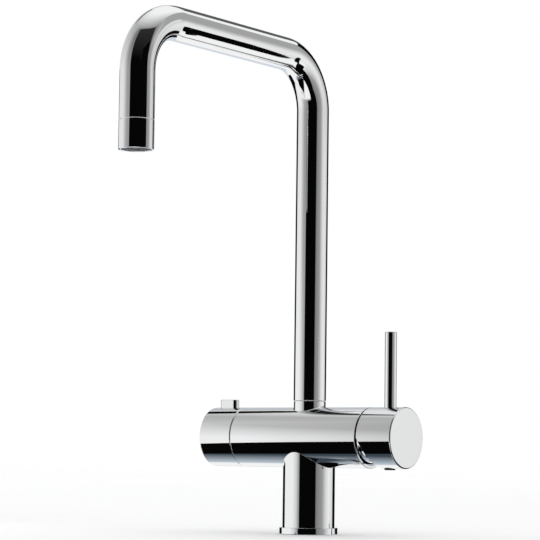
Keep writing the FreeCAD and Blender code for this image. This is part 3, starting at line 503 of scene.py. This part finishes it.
def border(numbers, window):
    """Numbers round a window, in the sense in which its faces turn."""
    rows, steps = window
    loop = [numbers[rows[0]][step] for step in steps[:-1]]
    loop += [numbers[row][steps[-1]] for row in rows[:-1]]
    loop += [numbers[rows[-1]][step] for step in reversed(steps[1:])]
    loop += [numbers[row][steps[0]] for row in reversed(rows[1:])]
    return loop


def lead_in(skin, loop, wall, hole):
    """Rings that lead from a window's border along its wall to a hole's rim, and the angle of each step.

    A wall is a pair of functions, from a point to its place in the plane that the hole is drawn in, and
    from a place to the wall's point and normal. The hole gives the place of its rim at an angle.
    """
    place_of, point_at = wall
    places = [Vector(place_of(skin.points[number])) for number in loop]
    angles = [math.atan2(place.y, place.x) for place in places]
    rims = [Vector(hole(angle)) for angle in angles]
    normals = [point_at(*place)[1] for place in places]
    rings = [(loop, normals, normals)]
    for share in (0.35, 0.7, 1.0):
        points, normals = zip(*(point_at(*place.lerp(rim, share)) for place, rim in zip(places, rims)))
        rings.append((points, normals, normals))
    return rings, angles


def barrel_wall(x, side):
    """Wall of the barrel's radius round a place along it, above its axis for side 1 or below for -1."""
    def point_at(along, aside):
        rise = side * math.sqrt(barrel_radius ** 2 - aside ** 2)
        return Vector((x + along, aside, axis_height + rise)), Vector((0, aside, rise)) / barrel_radius
    return lambda point: (point.x - x, point.y), point_at


def circle(radius):
    """Rim of a round hole."""
    return lambda angle: (radius * math.cos(angle), radius * math.sin(angle))


def sunk(rings, floor, into):
    """Rings that lead to the rim of a hole or a boss, then those of its wall and flat end."""
    points, before, after = rings[-1]
    middle = sum(points, Vector()) / len(points)
    centre = middle + into * (floor - middle.dot(into))
    bottom = [point + into * (floor - point.dot(into)) for point in points]
    inward = [(centre - point).normalized() for point in bottom]
    up = [-into] * len(points)
    return [*rings[:-1], (points, before, inward), (bottom, inward, up), ([centre] * len(points), up, up)]


barrel_skin = Skin()
barrel_rows = rows_on(barrel_corners, barrel_radius, -window_half, window_half)
top_quarter = 1
bottom_quarter = 3
neck_half_steps = 24
boss_half_steps = 28
neck_window = (barrel_rows, steps_round(top_quarter, neck_half_steps))
boss_window = (barrel_rows, steps_round(bottom_quarter, boss_half_steps))
barrel_numbers = barrel_skin.loft(
    stations(barrel_corners, barrel_axis, lying), [neck_window, boss_window], closed=True)

neck_top = joint_places["spout_swivel"].z
neck_radius = 12.3 * mm
neck_corner = 1.0 * mm


def neck_foot(angle):
    """Where the rolled corner under the neck meets the barrel."""
    outside = neck_radius + neck_corner
    squeeze = barrel_radius / (barrel_radius + neck_corner)
    return outside * math.cos(angle), outside * math.sin(angle) * squeeze


def neck_roll(angle, share):
    """Point and normal on the rolled corner, from the barrel's side at 0 to the neck's side at 1."""
    spoke = Vector((math.cos(angle), math.sin(angle), 0))
    ball = spoke * (neck_radius + neck_corner)
    ball.z = axis_height + math.sqrt((barrel_radius + neck_corner) ** 2 - ball.y ** 2)
    to_barrel = Vector((0, -ball.y, axis_height - ball.z)).normalized()
    away = to_barrel.slerp(-spoke, share)
    return ball + away * neck_corner, -away


neck_rings, neck_angles = lead_in(
    barrel_skin, border(barrel_numbers, neck_window), barrel_wall(0, 1), neck_foot)
for step in range(1, arc_steps + 1):
    points, normals = zip(*(neck_roll(angle, step / arc_steps) for angle in neck_angles))
    neck_rings.append((points, normals, normals))

lock_low, lock_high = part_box("spout_lock_screw")
lock_height = (lock_low.z + lock_high.z) / 2
lock_bore = (lock_high.z - lock_low.z) / 2 + snug
lock_floor = 9.7 * mm
lock_half_angle = math.radians(17)
lock_row_count = 9
first_lock_share = 0.03
lock_row_share = 0.1
roll_top, roll_normals = neck_rings[-1][:2]
lock_rows = list(range(len(neck_rings), len(neck_rings) + lock_row_count))
for row in range(lock_row_count):
    share = first_lock_share + lock_row_share * row
    points = [point.lerp(Vector((point.x, point.y, neck_top - edge_break)), share) for point in roll_top]
    neck_rings.append((points, roll_normals, roll_normals))
lock_steps = [step for step, angle in enumerate(neck_angles) if abs(angle - math.pi / 2) < lock_half_angle]
lock_window = (lock_rows, lock_steps)

socket_bore = half_size("spout_lower_bush").x + snug
slide_ring_seat = half_size("spout_slide_ring").x + snug
slide_ring_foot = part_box("spout_slide_ring")[0].z
socket_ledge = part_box("spout_lower_bush")[0].z
chamber_bore = 7.5 * mm
chamber_floor = axis_height - 0.1 * mm
neck_rings += stations([
    (neck_radius, axis_height),
    (neck_radius, neck_top, edge_break / 4),
    (slide_ring_seat, neck_top),
    (slide_ring_seat, slide_ring_foot),
    (socket_bore, slide_ring_foot),
    (socket_bore, socket_ledge),
    (chamber_bore, socket_ledge),
    (chamber_bore, chamber_floor),
    (0, chamber_floor)], Vector(), upright, [(angle, Vector()) for angle in neck_angles])[1:]
neck_numbers = barrel_skin.loft(neck_rings, [lock_window])


def behind_neck(aside, rise):
    """Point and normal on the back of the neck, beside and above the lock screw's middle."""
    depth = math.sqrt(neck_radius ** 2 - aside ** 2)
    return Vector((aside, depth, lock_height + rise)), Vector((aside, depth, 0)) / neck_radius


neck_back = (lambda point: (point.x, point.z - lock_height), behind_neck)
lock_rings = lead_in(barrel_skin, border(neck_numbers, lock_window), neck_back, circle(lock_bore))[0]
barrel_skin.loft(sunk(lock_rings, -lock_floor, -Y_AXIS))

boss_radius = hose_bore - fit
boss_face = axis_height - barrel_radius - 6.5 * mm
boss_rings = lead_in(
    barrel_skin, border(barrel_numbers, boss_window), barrel_wall(0, -1), circle(boss_radius))[0]
boss_numbers = barrel_skin.loft(sunk(boss_rings, -boss_face, -Z_AXIS)[:-1])
boss_rim = boss_numbers[-1]
port_steps = 48
port_turns = [(-2 * math.pi * step / port_steps, Vector()) for step in range(port_steps)]
port_flat = port_bore * math.cos(math.pi / port_steps)
port_rims = []
for place in port_places:
    port_rings = stations([
        (port_bore, 0), (port_bore, port_depth), (0, port_depth)], place, upright, port_turns)
    port_rims.append(barrel_skin.loft(port_rings)[0])
loops = [boss_rim, *port_rims]
flat = [number for loop in loops for number in loop]
order = {number: rank for rank, number in enumerate(flat)}
sides = [(order[loop[step - 1]], order[loop[step]]) for loop in loops for step in range(len(loop))]
triangles = delaunay_2d_cdt([barrel_skin.points[number].xy for number in flat], sides, [], 0, tiny)[2]
for triangle in triangles:
    corners = [flat[rank] for rank in triangle]
    middle = sum((barrel_skin.points[number] for number in corners), Vector()) / 3
    if min((middle - place).length for place in port_places) > port_flat:
        barrel_skin.face(corners[::-1], [-Z_AXIS] * 3)
barrel = barrel_skin.piece("barrel_polished", chrome)
stand_for(barrel, "base", "body_barrel")


# Mixing cartridge
# A moulded housing with two lapped ceramic discs, a driver, a turning head and a steel stem on a pin,
# held in the barrel by a plated brass ring nut. The dome over them shows in the gap under the handle.
def ceramic_recipe(place):
    mottle = cloud(place, 700.0, 3.0)
    return {
        "Base Color": blend(mottle, (0.86, 0.84, 0.79), (0.92, 0.90, 0.86)),
        "Roughness": 0.08 + 0.1 * mottle}


def steel_recipe(place):
    drawn = cloud(place, 1800.0, 1.0)
    return {
        "Base Color": blend(drawn, (0.55, 0.55, 0.56), (0.66, 0.66, 0.67)),
        "Metallic": 1.0,
        "Roughness": 0.26 + 0.14 * drawn}


def moulded_recipe(low, high):
    """Recipe of a moulded plastic between two shades, with a fine grain."""
    def recipe(place):
        shade = cloud(place, 260.0)
        grain = cloud(place, 6000.0)
        return {
            "Base Color": blend(shade, low, high),
            "Roughness": 0.42 + 0.16 * shade,
            "Normal": relief(grain, 0.000008)}
    return recipe


dress("ceramic", finish("lapped_ceramic", ceramic_recipe))
dress("steel", finish("drawn_steel", steel_recipe))
dress("white_plastic", finish("white_moulding", moulded_recipe((0.80, 0.80, 0.77), (0.87, 0.87, 0.84))))
dress("grey_plastic", finish("grey_moulding", moulded_recipe((0.18, 0.18, 0.19), (0.25, 0.25, 0.26))))
black_moulding = finish("black_moulding", moulded_recipe((0.014, 0.014, 0.015), (0.026, 0.026, 0.027)))
dress("black_plastic", black_moulding)
nut_plating = frame["nodes"]["cartridge_nut"].data.materials
nut_plating.clear()
nut_plating.append(chrome)

pivot = joint_places["flow_tilt"]
dome_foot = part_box("cartridge_dome")[0].x
dome_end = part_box("cartridge_dome")[1].x
dome_radius = barrel_radius - 2.8 * mm
dome_wall = 1.0 * mm
dome_shoulder = dome_foot + 2.0 * mm
skirt_radius = half_size("cartridge_dome").y
inner_dome = math.hypot(skirt_radius - dome_wall, dome_shoulder - pivot.x)
meridian_steps = 20


def meridian(radius, start, end):
    """Outline points of a sphere about the pivot between two places along the barrel."""
    places = [start + (end - start) * step / meridian_steps for step in range(meridian_steps + 1)]
    return [(math.sqrt(radius ** 2 - (place - pivot.x) ** 2), place) for place in places]


dome_rings = stations([
    (skirt_radius - dome_wall, dome_foot),
    (skirt_radius, dome_foot),
    *meridian(dome_radius, dome_shoulder, dome_end),
    *meridian(inner_dome, dome_end, dome_shoulder)], barrel_axis, lying)
skirt_rings = 2
for points, before, after in dome_rings[skirt_rings:skirt_rings + meridian_steps + 1]:
    before[:] = [(point - pivot).normalized() for point in points]
    after[:] = before
dome_skin = Skin()
dome_skin.loft(dome_rings, closed=True)
dome = dome_skin.piece("dome_polished", chrome)
stand_for(dome, "base", "cartridge_dome")


# Handle hub
# Cast and machined zinc, chromed: a cup over the dome with a flat end disc. Its mouth is cut back on a
# slant below, so that the lever can lean out; a set screw behind the plug clamps it on the stem.
hub_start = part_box("handle_hub")[0].x
hub_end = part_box("handle_hub")[1].x
hub_edge = 1.0 * mm
hub_bore = barrel_radius - 2.2 * mm
cup_floor = hub_start + 10.6 * mm
stem_boss = 6.5 * mm
stem_boss_start = pivot.x + 12.5 * mm
tilt_range = next(joint["range_deg"] for joint in frame["joints"] if joint["name"] == "flow_tilt")
slant = math.radians(tilt_range[1])
lever_low, lever_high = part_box("handle_lever")
lever_x = (lever_low.x + lever_high.x) / 2
lever_radius = (lever_high.x - lever_low.x) / 2
plug_low, plug_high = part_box("handle_plug")
plug_radius = (plug_high.x - plug_low.x) / 2
lever_seat = axis_height + barrel_radius - 1.8 * mm
hub_window_start = lever_x - 4.8 * mm
hub_window_end = lever_x + 5.6 * mm
hub_window_rows = 14
hub_corners = [
    (hub_bore, hub_start, edge_break / 2),
    (barrel_radius, hub_start, edge_break),
    *((barrel_radius, hub_window_start + (hub_window_end - hub_window_start) * row / hub_window_rows)
      for row in range(hub_window_rows + 1)),
    (barrel_radius, hub_end, hub_edge),
    (0, hub_end),
    (0, stem_boss_start),
    (stem_boss, stem_boss_start),
    *meridian(hub_bore, pivot.x + math.sqrt(hub_bore ** 2 - stem_boss ** 2), cup_floor),
    (hub_bore, cup_floor)]
hub_rings = stations(hub_corners, barrel_axis, lying)
leaning = Vector((math.cos(slant), 0, math.sin(slant)))
mouth_rings = 2 * (arc_steps + 1)
for points, before, after in hub_rings[:mouth_rings]:
    for step, point in enumerate(points):
        if point.z < axis_height:
            point.x += (axis_height - point.z) * math.tan(slant)
            before[step] += (leaning - X_AXIS) * before[step].x
            after[step] += (leaning - X_AXIS) * after[step].x
hub_rows = rows_on(hub_corners, barrel_radius, hub_window_start, hub_window_end)
hub_half_steps = 7
lever_window = (hub_rows, steps_round(top_quarter, hub_half_steps))
plug_window = (hub_rows, steps_round(bottom_quarter, hub_half_steps))
hub_skin = Skin()
hub_numbers = hub_skin.loft(hub_rings, [lever_window, plug_window], closed=True)
lever_rings = lead_in(
    hub_skin, border(hub_numbers, lever_window), barrel_wall(lever_x, 1), circle(lever_radius + snug))[0]
hub_skin.loft(sunk(lever_rings, -lever_seat, -Z_AXIS))
plug_rings = lead_in(
    hub_skin, border(hub_numbers, plug_window), barrel_wall(lever_x, -1), circle(plug_radius + snug))[0]
hub_skin.loft(sunk(plug_rings, plug_high.z + snug, Z_AXIS))
hub = hub_skin.piece("handle_hub_polished", chrome)
stand_for(hub, "handle", "handle_hub")


# Lever
# Turned brass rod, chromed, seated in the top of the hub, with its upper edge rounded.
# It stays upright with the tap shut.
lever_edge = 0.7 * mm
lever = turned("lever_polished", [
    (0, lever_seat + snug),
    (lever_radius, lever_seat + snug),
    (lever_radius, lever_high.z, lever_edge),
    (0, lever_high.z)], Vector((lever_x, 0, 0)), upright, chrome)
stand_for(lever, "handle", "handle_lever")


# Plug under the hub
# Moulded black cap pushed into the hole of the set screw, a little proud of the hub,
# with a rounded rim.
plug_edge = 0.4 * mm
plug = turned("plug_moulded", [
    (0, plug_low.z),
    (plug_radius, plug_low.z, plug_edge),
    (plug_radius, plug_high.z),
    (0, plug_high.z)], Vector((lever_x, 0, 0)), upright, black_moulding)
stand_for(plug, "handle", "handle_plug")


# Shut-off knob
# Chromed shell on a moulded insert, which turns the brass spindle of the shut-off valve a quarter.
# The key hole of its set screw is below, and a pocket on top takes the finger tab.
knob_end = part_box("knob_shell")[0].x
knob_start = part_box("knob_shell")[1].x
knob_bore = barrel_radius - 2.5 * mm
knob_floor = knob_end + 4.0 * mm
knob_edge = 0.6 * mm
tab_low, tab_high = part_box("knob_tab")
tab_x = (tab_low.x + tab_high.x) / 2
tab_radius = (tab_high.y - tab_low.y) / 2
tab_spread = (tab_high.x - tab_low.x) / 2 - tab_radius
key_low, key_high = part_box("knob_set_screw")
key_x = (key_low.x + key_high.x) / 2
key_radius = (key_high.x - key_low.x) / 2
key_depth = 2.2 * mm
knob_window_half = 9.2 * mm
knob_window_rows = 24
knob_corners = [
    (0, knob_end),
    (barrel_radius, knob_end, knob_edge),
    *((barrel_radius, tab_x + knob_window_half * (2 * row / knob_window_rows - 1))
      for row in range(knob_window_rows + 1)),
    (barrel_radius, knob_start, seam_edge),
    (knob_bore, knob_start),
    (knob_bore, knob_floor),
    (0, knob_floor)]


def obround(radius, spread):
    """Rim of a slot with round ends, long along the barrel."""
    def rim(angle):
        across = abs(math.sin(angle))
        along = abs(math.cos(angle))
        if radius * along < spread * across:
            reach = radius / across
        else:
            reach = spread * along + math.sqrt(radius ** 2 - (spread * across) ** 2)
        return reach * math.cos(angle), reach * math.sin(angle)
    return rim


tab_rows = rows_on(knob_corners, barrel_radius, tab_x - knob_window_half, tab_x + knob_window_half)
key_rows = rows_on(knob_corners, barrel_radius, key_x - 2 * key_radius, key_x + 2 * key_radius)
tab_half_steps = 7
key_half_steps = 4
tab_window = (tab_rows, steps_round(top_quarter, tab_half_steps))
key_window = (key_rows, steps_round(bottom_quarter, key_half_steps))
knob_skin = Skin()
knob_numbers = knob_skin.loft(
    stations(knob_corners, barrel_axis, lying), [tab_window, key_window], closed=True)
tab_rings = lead_in(
    knob_skin, border(knob_numbers, tab_window), barrel_wall(tab_x, 1),
    obround(tab_radius + snug, tab_spread))[0]
knob_skin.loft(sunk(tab_rings, -tab_low.z + snug, -Z_AXIS))
key_rings = lead_in(
    knob_skin, border(knob_numbers, key_window), barrel_wall(key_x, -1), circle(key_radius + snug))[0]
knob_skin.loft(sunk(key_rings, axis_height - barrel_radius + key_depth, Z_AXIS))
knob = knob_skin.piece("knob_polished", chrome)
stand_for(knob, "shutoff_knob", "knob_shell")


# Finger tab
# Small chromed block with full-round ends, let into the knob's pocket.
# Its upper edge is rounded for the finger.
tab_edge = 0.4 * mm
tab_end_steps = 24
half_turn = [math.pi * step / tab_end_steps for step in range(tab_end_steps + 1)]
tab_turns = [(angle - math.pi / 2, X_AXIS * tab_spread) for angle in half_turn]
tab_turns += [(angle + math.pi / 2, -X_AXIS * tab_spread) for angle in half_turn]
tab = turned("tab_polished", [
    (0, tab_low.z),
    (tab_radius, tab_low.z),
    (tab_radius, tab_high.z, tab_edge),
    (0, tab_high.z)], Vector((tab_x, 0, 0)), upright, chrome, tab_turns)
stand_for(tab, "shutoff_knob", "knob_tab")


# Spout tube
# One chromed brass tube, bent twice to a square U and brazed on its spigot, which turns in the neck.
# Both ends are cut square and deburred.
tube_low, tube_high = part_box("spout_tube")
tube_radius = half_size("outlet_sleeve").x
tube_wall = 1.5 * mm
bend_radius = 40.0 * mm
arm_height = tube_high.z - tube_radius
reach = -tube_low.y - tube_radius
sleeve_low, sleeve_high = (corner.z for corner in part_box("outlet_sleeve"))
sleeve_length = 20.5 * mm
sleeve_seam = 0.25 * mm
tube_end = sleeve_low + sleeve_length + sleeve_seam
bend_steps = 96
hoop_steps = 120
ring_spacing = 2.0 * mm
tube_sizes = ["Foot", "Arm height", "Reach", "End", "Bend radius", "Radius", "Bore radius", "Ring spacing"]
tube_tree, size = tree_with("bent_tube", tube_sizes, {"Finish": "NodeSocketMaterial"})
foot = size["Foot"]


def spot(forward, height):
    """Corner of the spout's centre line."""
    return foot.node("ShaderNodeCombineXYZ", {}, {"Y": forward, "Z": height})


posts = foot.node("GeometryNodeMeshLine", {}, {"Count": 4})
number = foot.node("GeometryNodeInputIndex", {}, {})


def one_of(operation, other, spot_if, spot_else):
    """Corner that depends on how a post's number compares with another."""
    answer = number.node("FunctionNodeCompare", {"data_type": "INT", "operation": operation}, {
        2: number, 3: other})
    return foot.node("GeometryNodeSwitch", {"input_type": "VECTOR"}, {
        "Switch": answer, "True": spot_if, "False": spot_else})


front = 0 - size["Reach"]
foot_side = one_of("EQUAL", 0, spot(0.0, foot), spot(0.0, size["Arm height"]))
outlet_side = one_of("EQUAL", 3, spot(front, size["End"]), spot(front, size["Arm height"]))
corner_place = one_of("GREATER_THAN", 1, outlet_side, foot_side)
placed = posts.node("GeometryNodeSetPosition", {}, {"Geometry": posts, "Position": corner_place})
square = placed.node("GeometryNodeMeshToCurve", {}, {"Mesh": placed})
bent = square.node("GeometryNodeFilletCurve", {"mode": "POLY"}, {
    "Curve": square, "Count": bend_steps, "Radius": size["Bend radius"]})
even = bent.node("GeometryNodeResampleCurve", {"mode": "LENGTH"}, {
    "Curve": bent, "Length": size["Ring spacing"]})
walls = []
for name in ("Radius", "Bore radius"):
    hoop = even.node("GeometryNodeCurvePrimitiveCircle", {}, {
        "Resolution": hoop_steps, "Radius": size[name]})
    walls.append(even.node("GeometryNodeCurveToMesh", {}, {"Curve": even, "Profile Curve": hoop}))
outside, inside = walls
facing_in = inside.node("GeometryNodeFlipFaces", {}, {"Mesh": inside})
both = outside.node("GeometryNodeJoinGeometry", {}, {0: outside})
tube_tree.links.new(facing_in.socket, both.socket.node.inputs[0])
close_tree(tube_tree, both, size["Finish"])

tube = grown("tube_polished", tube_tree, {
    "Foot": tube_low.z, "Arm height": arm_height, "Reach": reach, "End": tube_end,
    "Bend radius": bend_radius, "Radius": tube_radius, "Bore radius": tube_radius - tube_wall,
    "Ring spacing": ring_spacing, "Finish": chrome})


def on_outside(vertex):
    """Whether a vertex of a tube's end is on the outer wall."""
    middle = 0 if vertex.co.y > -reach / 2 else -reach
    return math.hypot(vertex.co.x, vertex.co.y - middle) > tube_radius - tube_wall / 2


sharp_angle = math.radians(50)
work = bmesh.new()
work.from_mesh(tube.data)
open_ends = [edge for edge in work.edges if edge.is_boundary]
for middle in (0.0, -reach):
    end = [edge for edge in open_ends if abs(edge.verts[0].co.y - middle) < 2 * tube_radius]
    bmesh.ops.bridge_loops(work, edges=end)
bmesh.ops.recalc_face_normals(work, faces=work.faces)
rims = [edge for edge in open_ends if all(on_outside(vertex) for vertex in edge.verts)]
bmesh.ops.bevel(work, geom=rims, offset=edge_break / 2, segments=4, profile=0.5, affect="EDGES")
for face in work.faces:
    face.smooth = True
work.to_mesh(tube.data)
work.free()
tube.data.set_sharp_from_angle(angle=sharp_angle)
even_walls = tube.modifiers.new("even_walls", "WEIGHTED_NORMAL")
even_walls.keep_sharp = True
even_walls.weight = 100
finished = bpy.data.meshes.new_from_object(tube.evaluated_get(bpy.context.evaluated_depsgraph_get()))
tube.modifiers.remove(even_walls)
tube.data = finished
stand_for(tube, "spout", "spout_tube")


# Outlet sleeve
# Turned brass sleeve of the tube's own diameter, chromed, with a tail inside the tube, so that only a
# fine seam shows. The moulded aerator with its honeycomb grid sits up inside the bore.
sleeve_top = sleeve_low + sleeve_length
sleeve_bore = tube_radius - 2.0 * mm
aerator_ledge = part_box("aerator_seal")[1].z
tail_radius = tube_radius - tube_wall - fit
tail_bore = 8.0 * mm
sleeve = turned("sleeve_polished", [
    (sleeve_bore, sleeve_low, edge_break),
    (tube_radius, sleeve_low, edge_break),
    (tube_radius, sleeve_top, edge_break / 2),
    (tail_radius, sleeve_top),
    (tail_radius, sleeve_high),
    (tail_bore, sleeve_high),
    (tail_bore, aerator_ledge),
    (sleeve_bore, aerator_ledge)], Vector((0, -reach, 0)), upright, chrome)
stand_for(sleeve, "spout", "outlet_sleeve")


# Studio
# A white floor under an even white sky, and the camera low in front on the right. The chrome mirrors
# neither, but a glowing tent that only reflections see, painted with a dark front, pale sides, a painted
# lamp above and a painted white table below. In it stand glowing boards that paint light on the chrome's
# sides, and dark flags and cloths that paint its dark bands, all seen only in reflections.
scene = bpy.context.scene
scene.view_settings.view_transform = "Standard"
world = bpy.data.worlds.new("white_sky")
scene.world = world
world.use_nodes = True
world.node_tree.nodes["Background"].inputs["Color"].default_value = (1, 1, 1, 1)
world.node_tree.nodes["Background"].inputs["Strength"].default_value = 1.0


def sheet(name, corners, material):
    """Flat piece of the set."""
    mesh = bpy.data.meshes.new(name)
    mesh.from_pydata(corners, [], [range(len(corners))])
    mesh.materials.append(material)
    piece = bpy.data.objects.new(name, mesh)
    scene.collection.objects.link(piece)
    return piece


floor_half = 4.0
floor_paint = finish("white_floor", lambda place: {
    "Base Color": blend(cloud(place, 3.0), (0.985, 0.985, 0.985), (1.0, 1.0, 1.0)), "Roughness": 0.9})
floor_corners = [(floor_half * x, floor_half * y, 0) for x, y in ((-1, -1), (1, -1), (1, 1), (-1, 1))]
floor = sheet("floor", floor_corners, floor_paint)
floor.visible_glossy = False

swing = math.radians(35.974)
lift = math.radians(-4.905)
roll = math.radians(0.729)
target = Vector((0, 0, 0.230))
distance = 1.643953
slide_right = -0.031722
slide_up = -0.028081
focal_pixels = 2129.018
picture_pixels = 540
backward = Vector((math.sin(swing) * math.cos(lift), -math.cos(swing) * math.cos(lift), math.sin(lift)))
rightward = Vector((math.cos(swing), math.sin(swing), 0))
upward = backward.cross(rightward)
eye = target + backward * distance + rightward * slide_right + upward * slide_up
rolled_right = rightward * math.cos(roll) + upward * math.sin(roll)
rolled_up = upward * math.cos(roll) - rightward * math.sin(roll)
lens = bpy.data.cameras.new("camera")
lens.sensor_width = 36.0
lens.lens = lens.sensor_width * focal_pixels / picture_pixels
camera = bpy.data.objects.new("camera", lens)
camera_axes = Matrix((rolled_right, rolled_up, backward)).transposed()
camera.matrix_world = Matrix.Translation(eye) @ camera_axes.to_4x4()
scene.collection.objects.link(camera)
scene.camera = camera


def grey(level, cool=0, solid=1.0):
    """Linear colour of a grey that shows as the given level from 0 to 255, or a little bluer."""
    shown = Color(((level - cool) / 255, level / 255, (level + cool) / 255))
    return (*shown.from_srgb_to_scene_linear(), solid)


def ramp(place, stops, output=0):
    """Grey that follows stops of place, level and, where they aren't plain, cool and solid."""
    colours = [(at, grey(*shade)) for at, *shade in stops]
    return place.node("ShaderNodeValToRGB", {"stops": colours}, {"Fac": place}, output)


def glow(name, recipe):
    """Material that only shines, in the colour and as solid as recipe(tree) gives."""
    material = bpy.data.materials.new(name)
    material.use_nodes = True
    tree = material.node_tree
    tree.nodes.clear()
    colour, solid = recipe(tree)
    shine = colour.node("ShaderNodeEmission", {}, {"Color": colour})
    clear = colour.node("ShaderNodeBsdfTransparent", {}, {})
    seen = colour.node("ShaderNodeMixShader", {}, {0: solid, 1: clear, 2: shine})
    plug_in(tree, tree.nodes.new("ShaderNodeOutputMaterial"), {"Surface": seen})
    return material


def for_chrome(piece):
    """Let only reflections see a piece of the set."""
    piece.visible_camera = False
    piece.visible_diffuse = False
    piece.visible_transmission = False
    piece.visible_volume_scatter = False
    piece.visible_shadow = False


def mixed(one, other, how):
    """Two colours put together: multiplied, or the lighter of them."""
    return one.node("ShaderNodeMix", {"data_type": "RGBA", "blend_type": how}, {0: 1.0, 6: one, 7: other}, 2)


def tent_recipe(tree):
    """Painted reflections: levels by the bearing, dimmed by the height, with a painted lamp and table in it."""
    spot = Wire(tree, tree.nodes.new("ShaderNodeTexCoord").outputs["Object"])
    direction = spot.node("ShaderNodeVectorMath", {"operation": "NORMALIZE"}, {0: spot})
    across, ahead, height = (
        direction.node("ShaderNodeSeparateXYZ", {}, {"Vector": direction}, axis) for axis in range(3))
    turn = across.math("ARCTAN2", across, 0 - ahead) * (0.5 / math.pi) + 0.5
    angle = height.math("ARCSINE", height, 0.0) * (1 / math.pi) + 0.5
    facing = direction.node("ShaderNodeVectorMath", {"operation": "DOT_PRODUCT"}, {
        0: direction, 1: painted_lamp_way}, 1)
    around = ramp(turn, [((degrees + 180) / 360, *shade) for degrees, *shade in tent_levels])
    dim, painted_table = (ramp(angle, [((degrees + 90) / 180, level) for degrees, level in levels])
                  for levels in (dim_levels, painted_table_levels))
    # A painted lamp: a bright patch in the tent's glow, which only reflections see
    painted_lamp = ramp(facing * 0.5 + 0.5, [(share * 0.5 + 0.5, level) for share, level in painted_lamp_levels])
    cloth = mixed(mixed(around, dim, "MULTIPLY"), painted_lamp, "LIGHTEN")
    return mixed(cloth, painted_table, "LIGHTEN"), 1.0


white = 250
pale = 225
grey_cloth = 170
dark = 45
black = 6
# Painted reflection levels round the tent, by degrees to the right of the camera's side
tent_levels = [
    (-180, pale, 9), (-130, white), (-90, white), (-60, grey_cloth), (-45, grey_cloth), (-43, black),
    (30, black), (62, dark), (68, grey_cloth), (95, white), (130, pale), (180, pale, 9)]
# Up the tent, by degrees above the horizon
dim_levels = [(-90, pale), (0, white), (50, 185)]
# A painted white table below the horizon, in the tent's glow
painted_table_levels = [(-20, white), (-12, black)]
# Round the painted lamp, a bright patch of the tent's glow, by the cosine of the angle from its middle
painted_lamp_way = Vector((0.18, 0.38, 0.91))
painted_lamp_levels = [(0, black), (0.64, dark), (0.66, 150), (0.95, white)]
tent_centre = (0, 0, 0.2)
tent_radius = 2.2
tent_work = bmesh.new()
bmesh.ops.create_uvsphere(tent_work, u_segments=96, v_segments=48, radius=tent_radius)
tent_mesh = bpy.data.meshes.new("tent")
tent_work.to_mesh(tent_mesh)
tent_work.free()
tent_mesh.materials.append(glow("tent_painted_glow", tent_recipe))
tent = bpy.data.objects.new("tent", tent_mesh)
tent.location = tent_centre
tent.rotation_euler.z = swing
scene.collection.objects.link(tent)
for_chrome(tent)


unshaded = ((0, 255),)


def card(name, corners, along, up=unshaded):
    """Card for reflections, grey by the levels along its first edge times those along its second."""
    def recipe(tree):
        spot = Wire(tree, tree.nodes.new("ShaderNodeTexCoord").outputs["UV"])
        across, height = (
            spot.node("ShaderNodeSeparateXYZ", {}, {"Vector": spot}, axis) for axis in range(2))
        return mixed(ramp(across, along), ramp(height, up), "MULTIPLY"), ramp(height, up, 1)

    piece = sheet(name, corners, glow(name, recipe))
    first, second, third = (Vector(corner) for corner in corners[:3])
    edges = (second - first, third - second)
    layer = piece.data.uv_layers.new()
    for loop in piece.data.loops:
        off = Vector(corners[loop.vertex_index]) - first
        layer.uv[loop.index].vector = [off.dot(edge) / edge.length_squared for edge in edges]
    for_chrome(piece)


far = 1500
just_below = -15
cloth_level = -60


def set_place(right, toward, height):
    """Place from millimetres to the right of the tap, toward the camera and up."""
    ahead = Vector((math.sin(swing), -math.cos(swing), 0))
    return (rightward * right + ahead * toward + Z_AXIS * height) * mm


def bearing(degrees):
    """Place of (right, toward) far from the tap, so many degrees to the right of the camera's side."""
    return far * math.sin(math.radians(degrees)), far * math.cos(math.radians(degrees))


def standing(start, end, low, high):
    """Corners of an upright card between two places of (right, toward), in millimetres."""
    return [set_place(*start, low), set_place(*end, low), set_place(*end, high), set_place(*start, high)]


def lying_cloth(*places):
    """Corners of a cloth that lies below the floor, from places of (right, toward) in millimetres."""
    return [set_place(*place, cloth_level) for place in places]


def under_barrel(*places):
    """Corners of a card just below the floor, from places of (x, y) in millimetres."""
    return [Vector((x, y, just_below)) * mm for x, y in places]


# Glowing cards that only reflections see, painting light and shade into the chrome: pale boards, a light, a grey
# flag and a painted bluish gradient under the barrel
card("left_board", standing((-380, 310), (-230, -170), just_below, 285), [(0, 195), (0.5, white)], [
    (0.25, white), (0.9, white, 0, 0.0)])
card("right_board", standing((350, 640), (350, 30), cloth_level, 500), [(0, 115), (0.7, 155), (1, 235)])
card("right_hood", standing(bearing(85), bearing(130), 480, 1800), [(0, grey_cloth)], [
    (0, white, 0, 0.0), (0.3, white)])
card("back_light", standing(bearing(130), bearing(150), 1380, 1900), [(0, white)])
card("back_flag", standing(bearing(150), bearing(180), 1000, 1900), [(0, 90)])
card("under_card", under_barrel((-180, -42), (-180, 30), (60, 30), (60, -64)), [(0, 70, 10), (0.9, 205, 10)])
# Black glowing cards that only reflections see: they paint the chrome's dark bands
black_cards = {
    "drop_flag": standing((-55, 304), (12, 233), 250, 420),
    "left_gap": standing((-183, -470), (-412, -300), cloth_level, 430),
    "top_flag": standing(bearing(-162), bearing(-138), 1480, 2100),
    "right_gap": standing(bearing(127), bearing(166), -420, 1350),
    "barrel_flag": under_barrel((-160, -42), (-400, -440), (-120, -440), (95, -66)),
    "front_cloth": lying_cloth((50, -20), (200, -195), (570, -195), (900, 1900), (-300, 1900)),
    "side_cloth": lying_cloth((510, -130), (2020, -405), (2080, -580), (640, -320))}
for name, corners in black_cards.items():
    card(name, corners, [(0, black)])
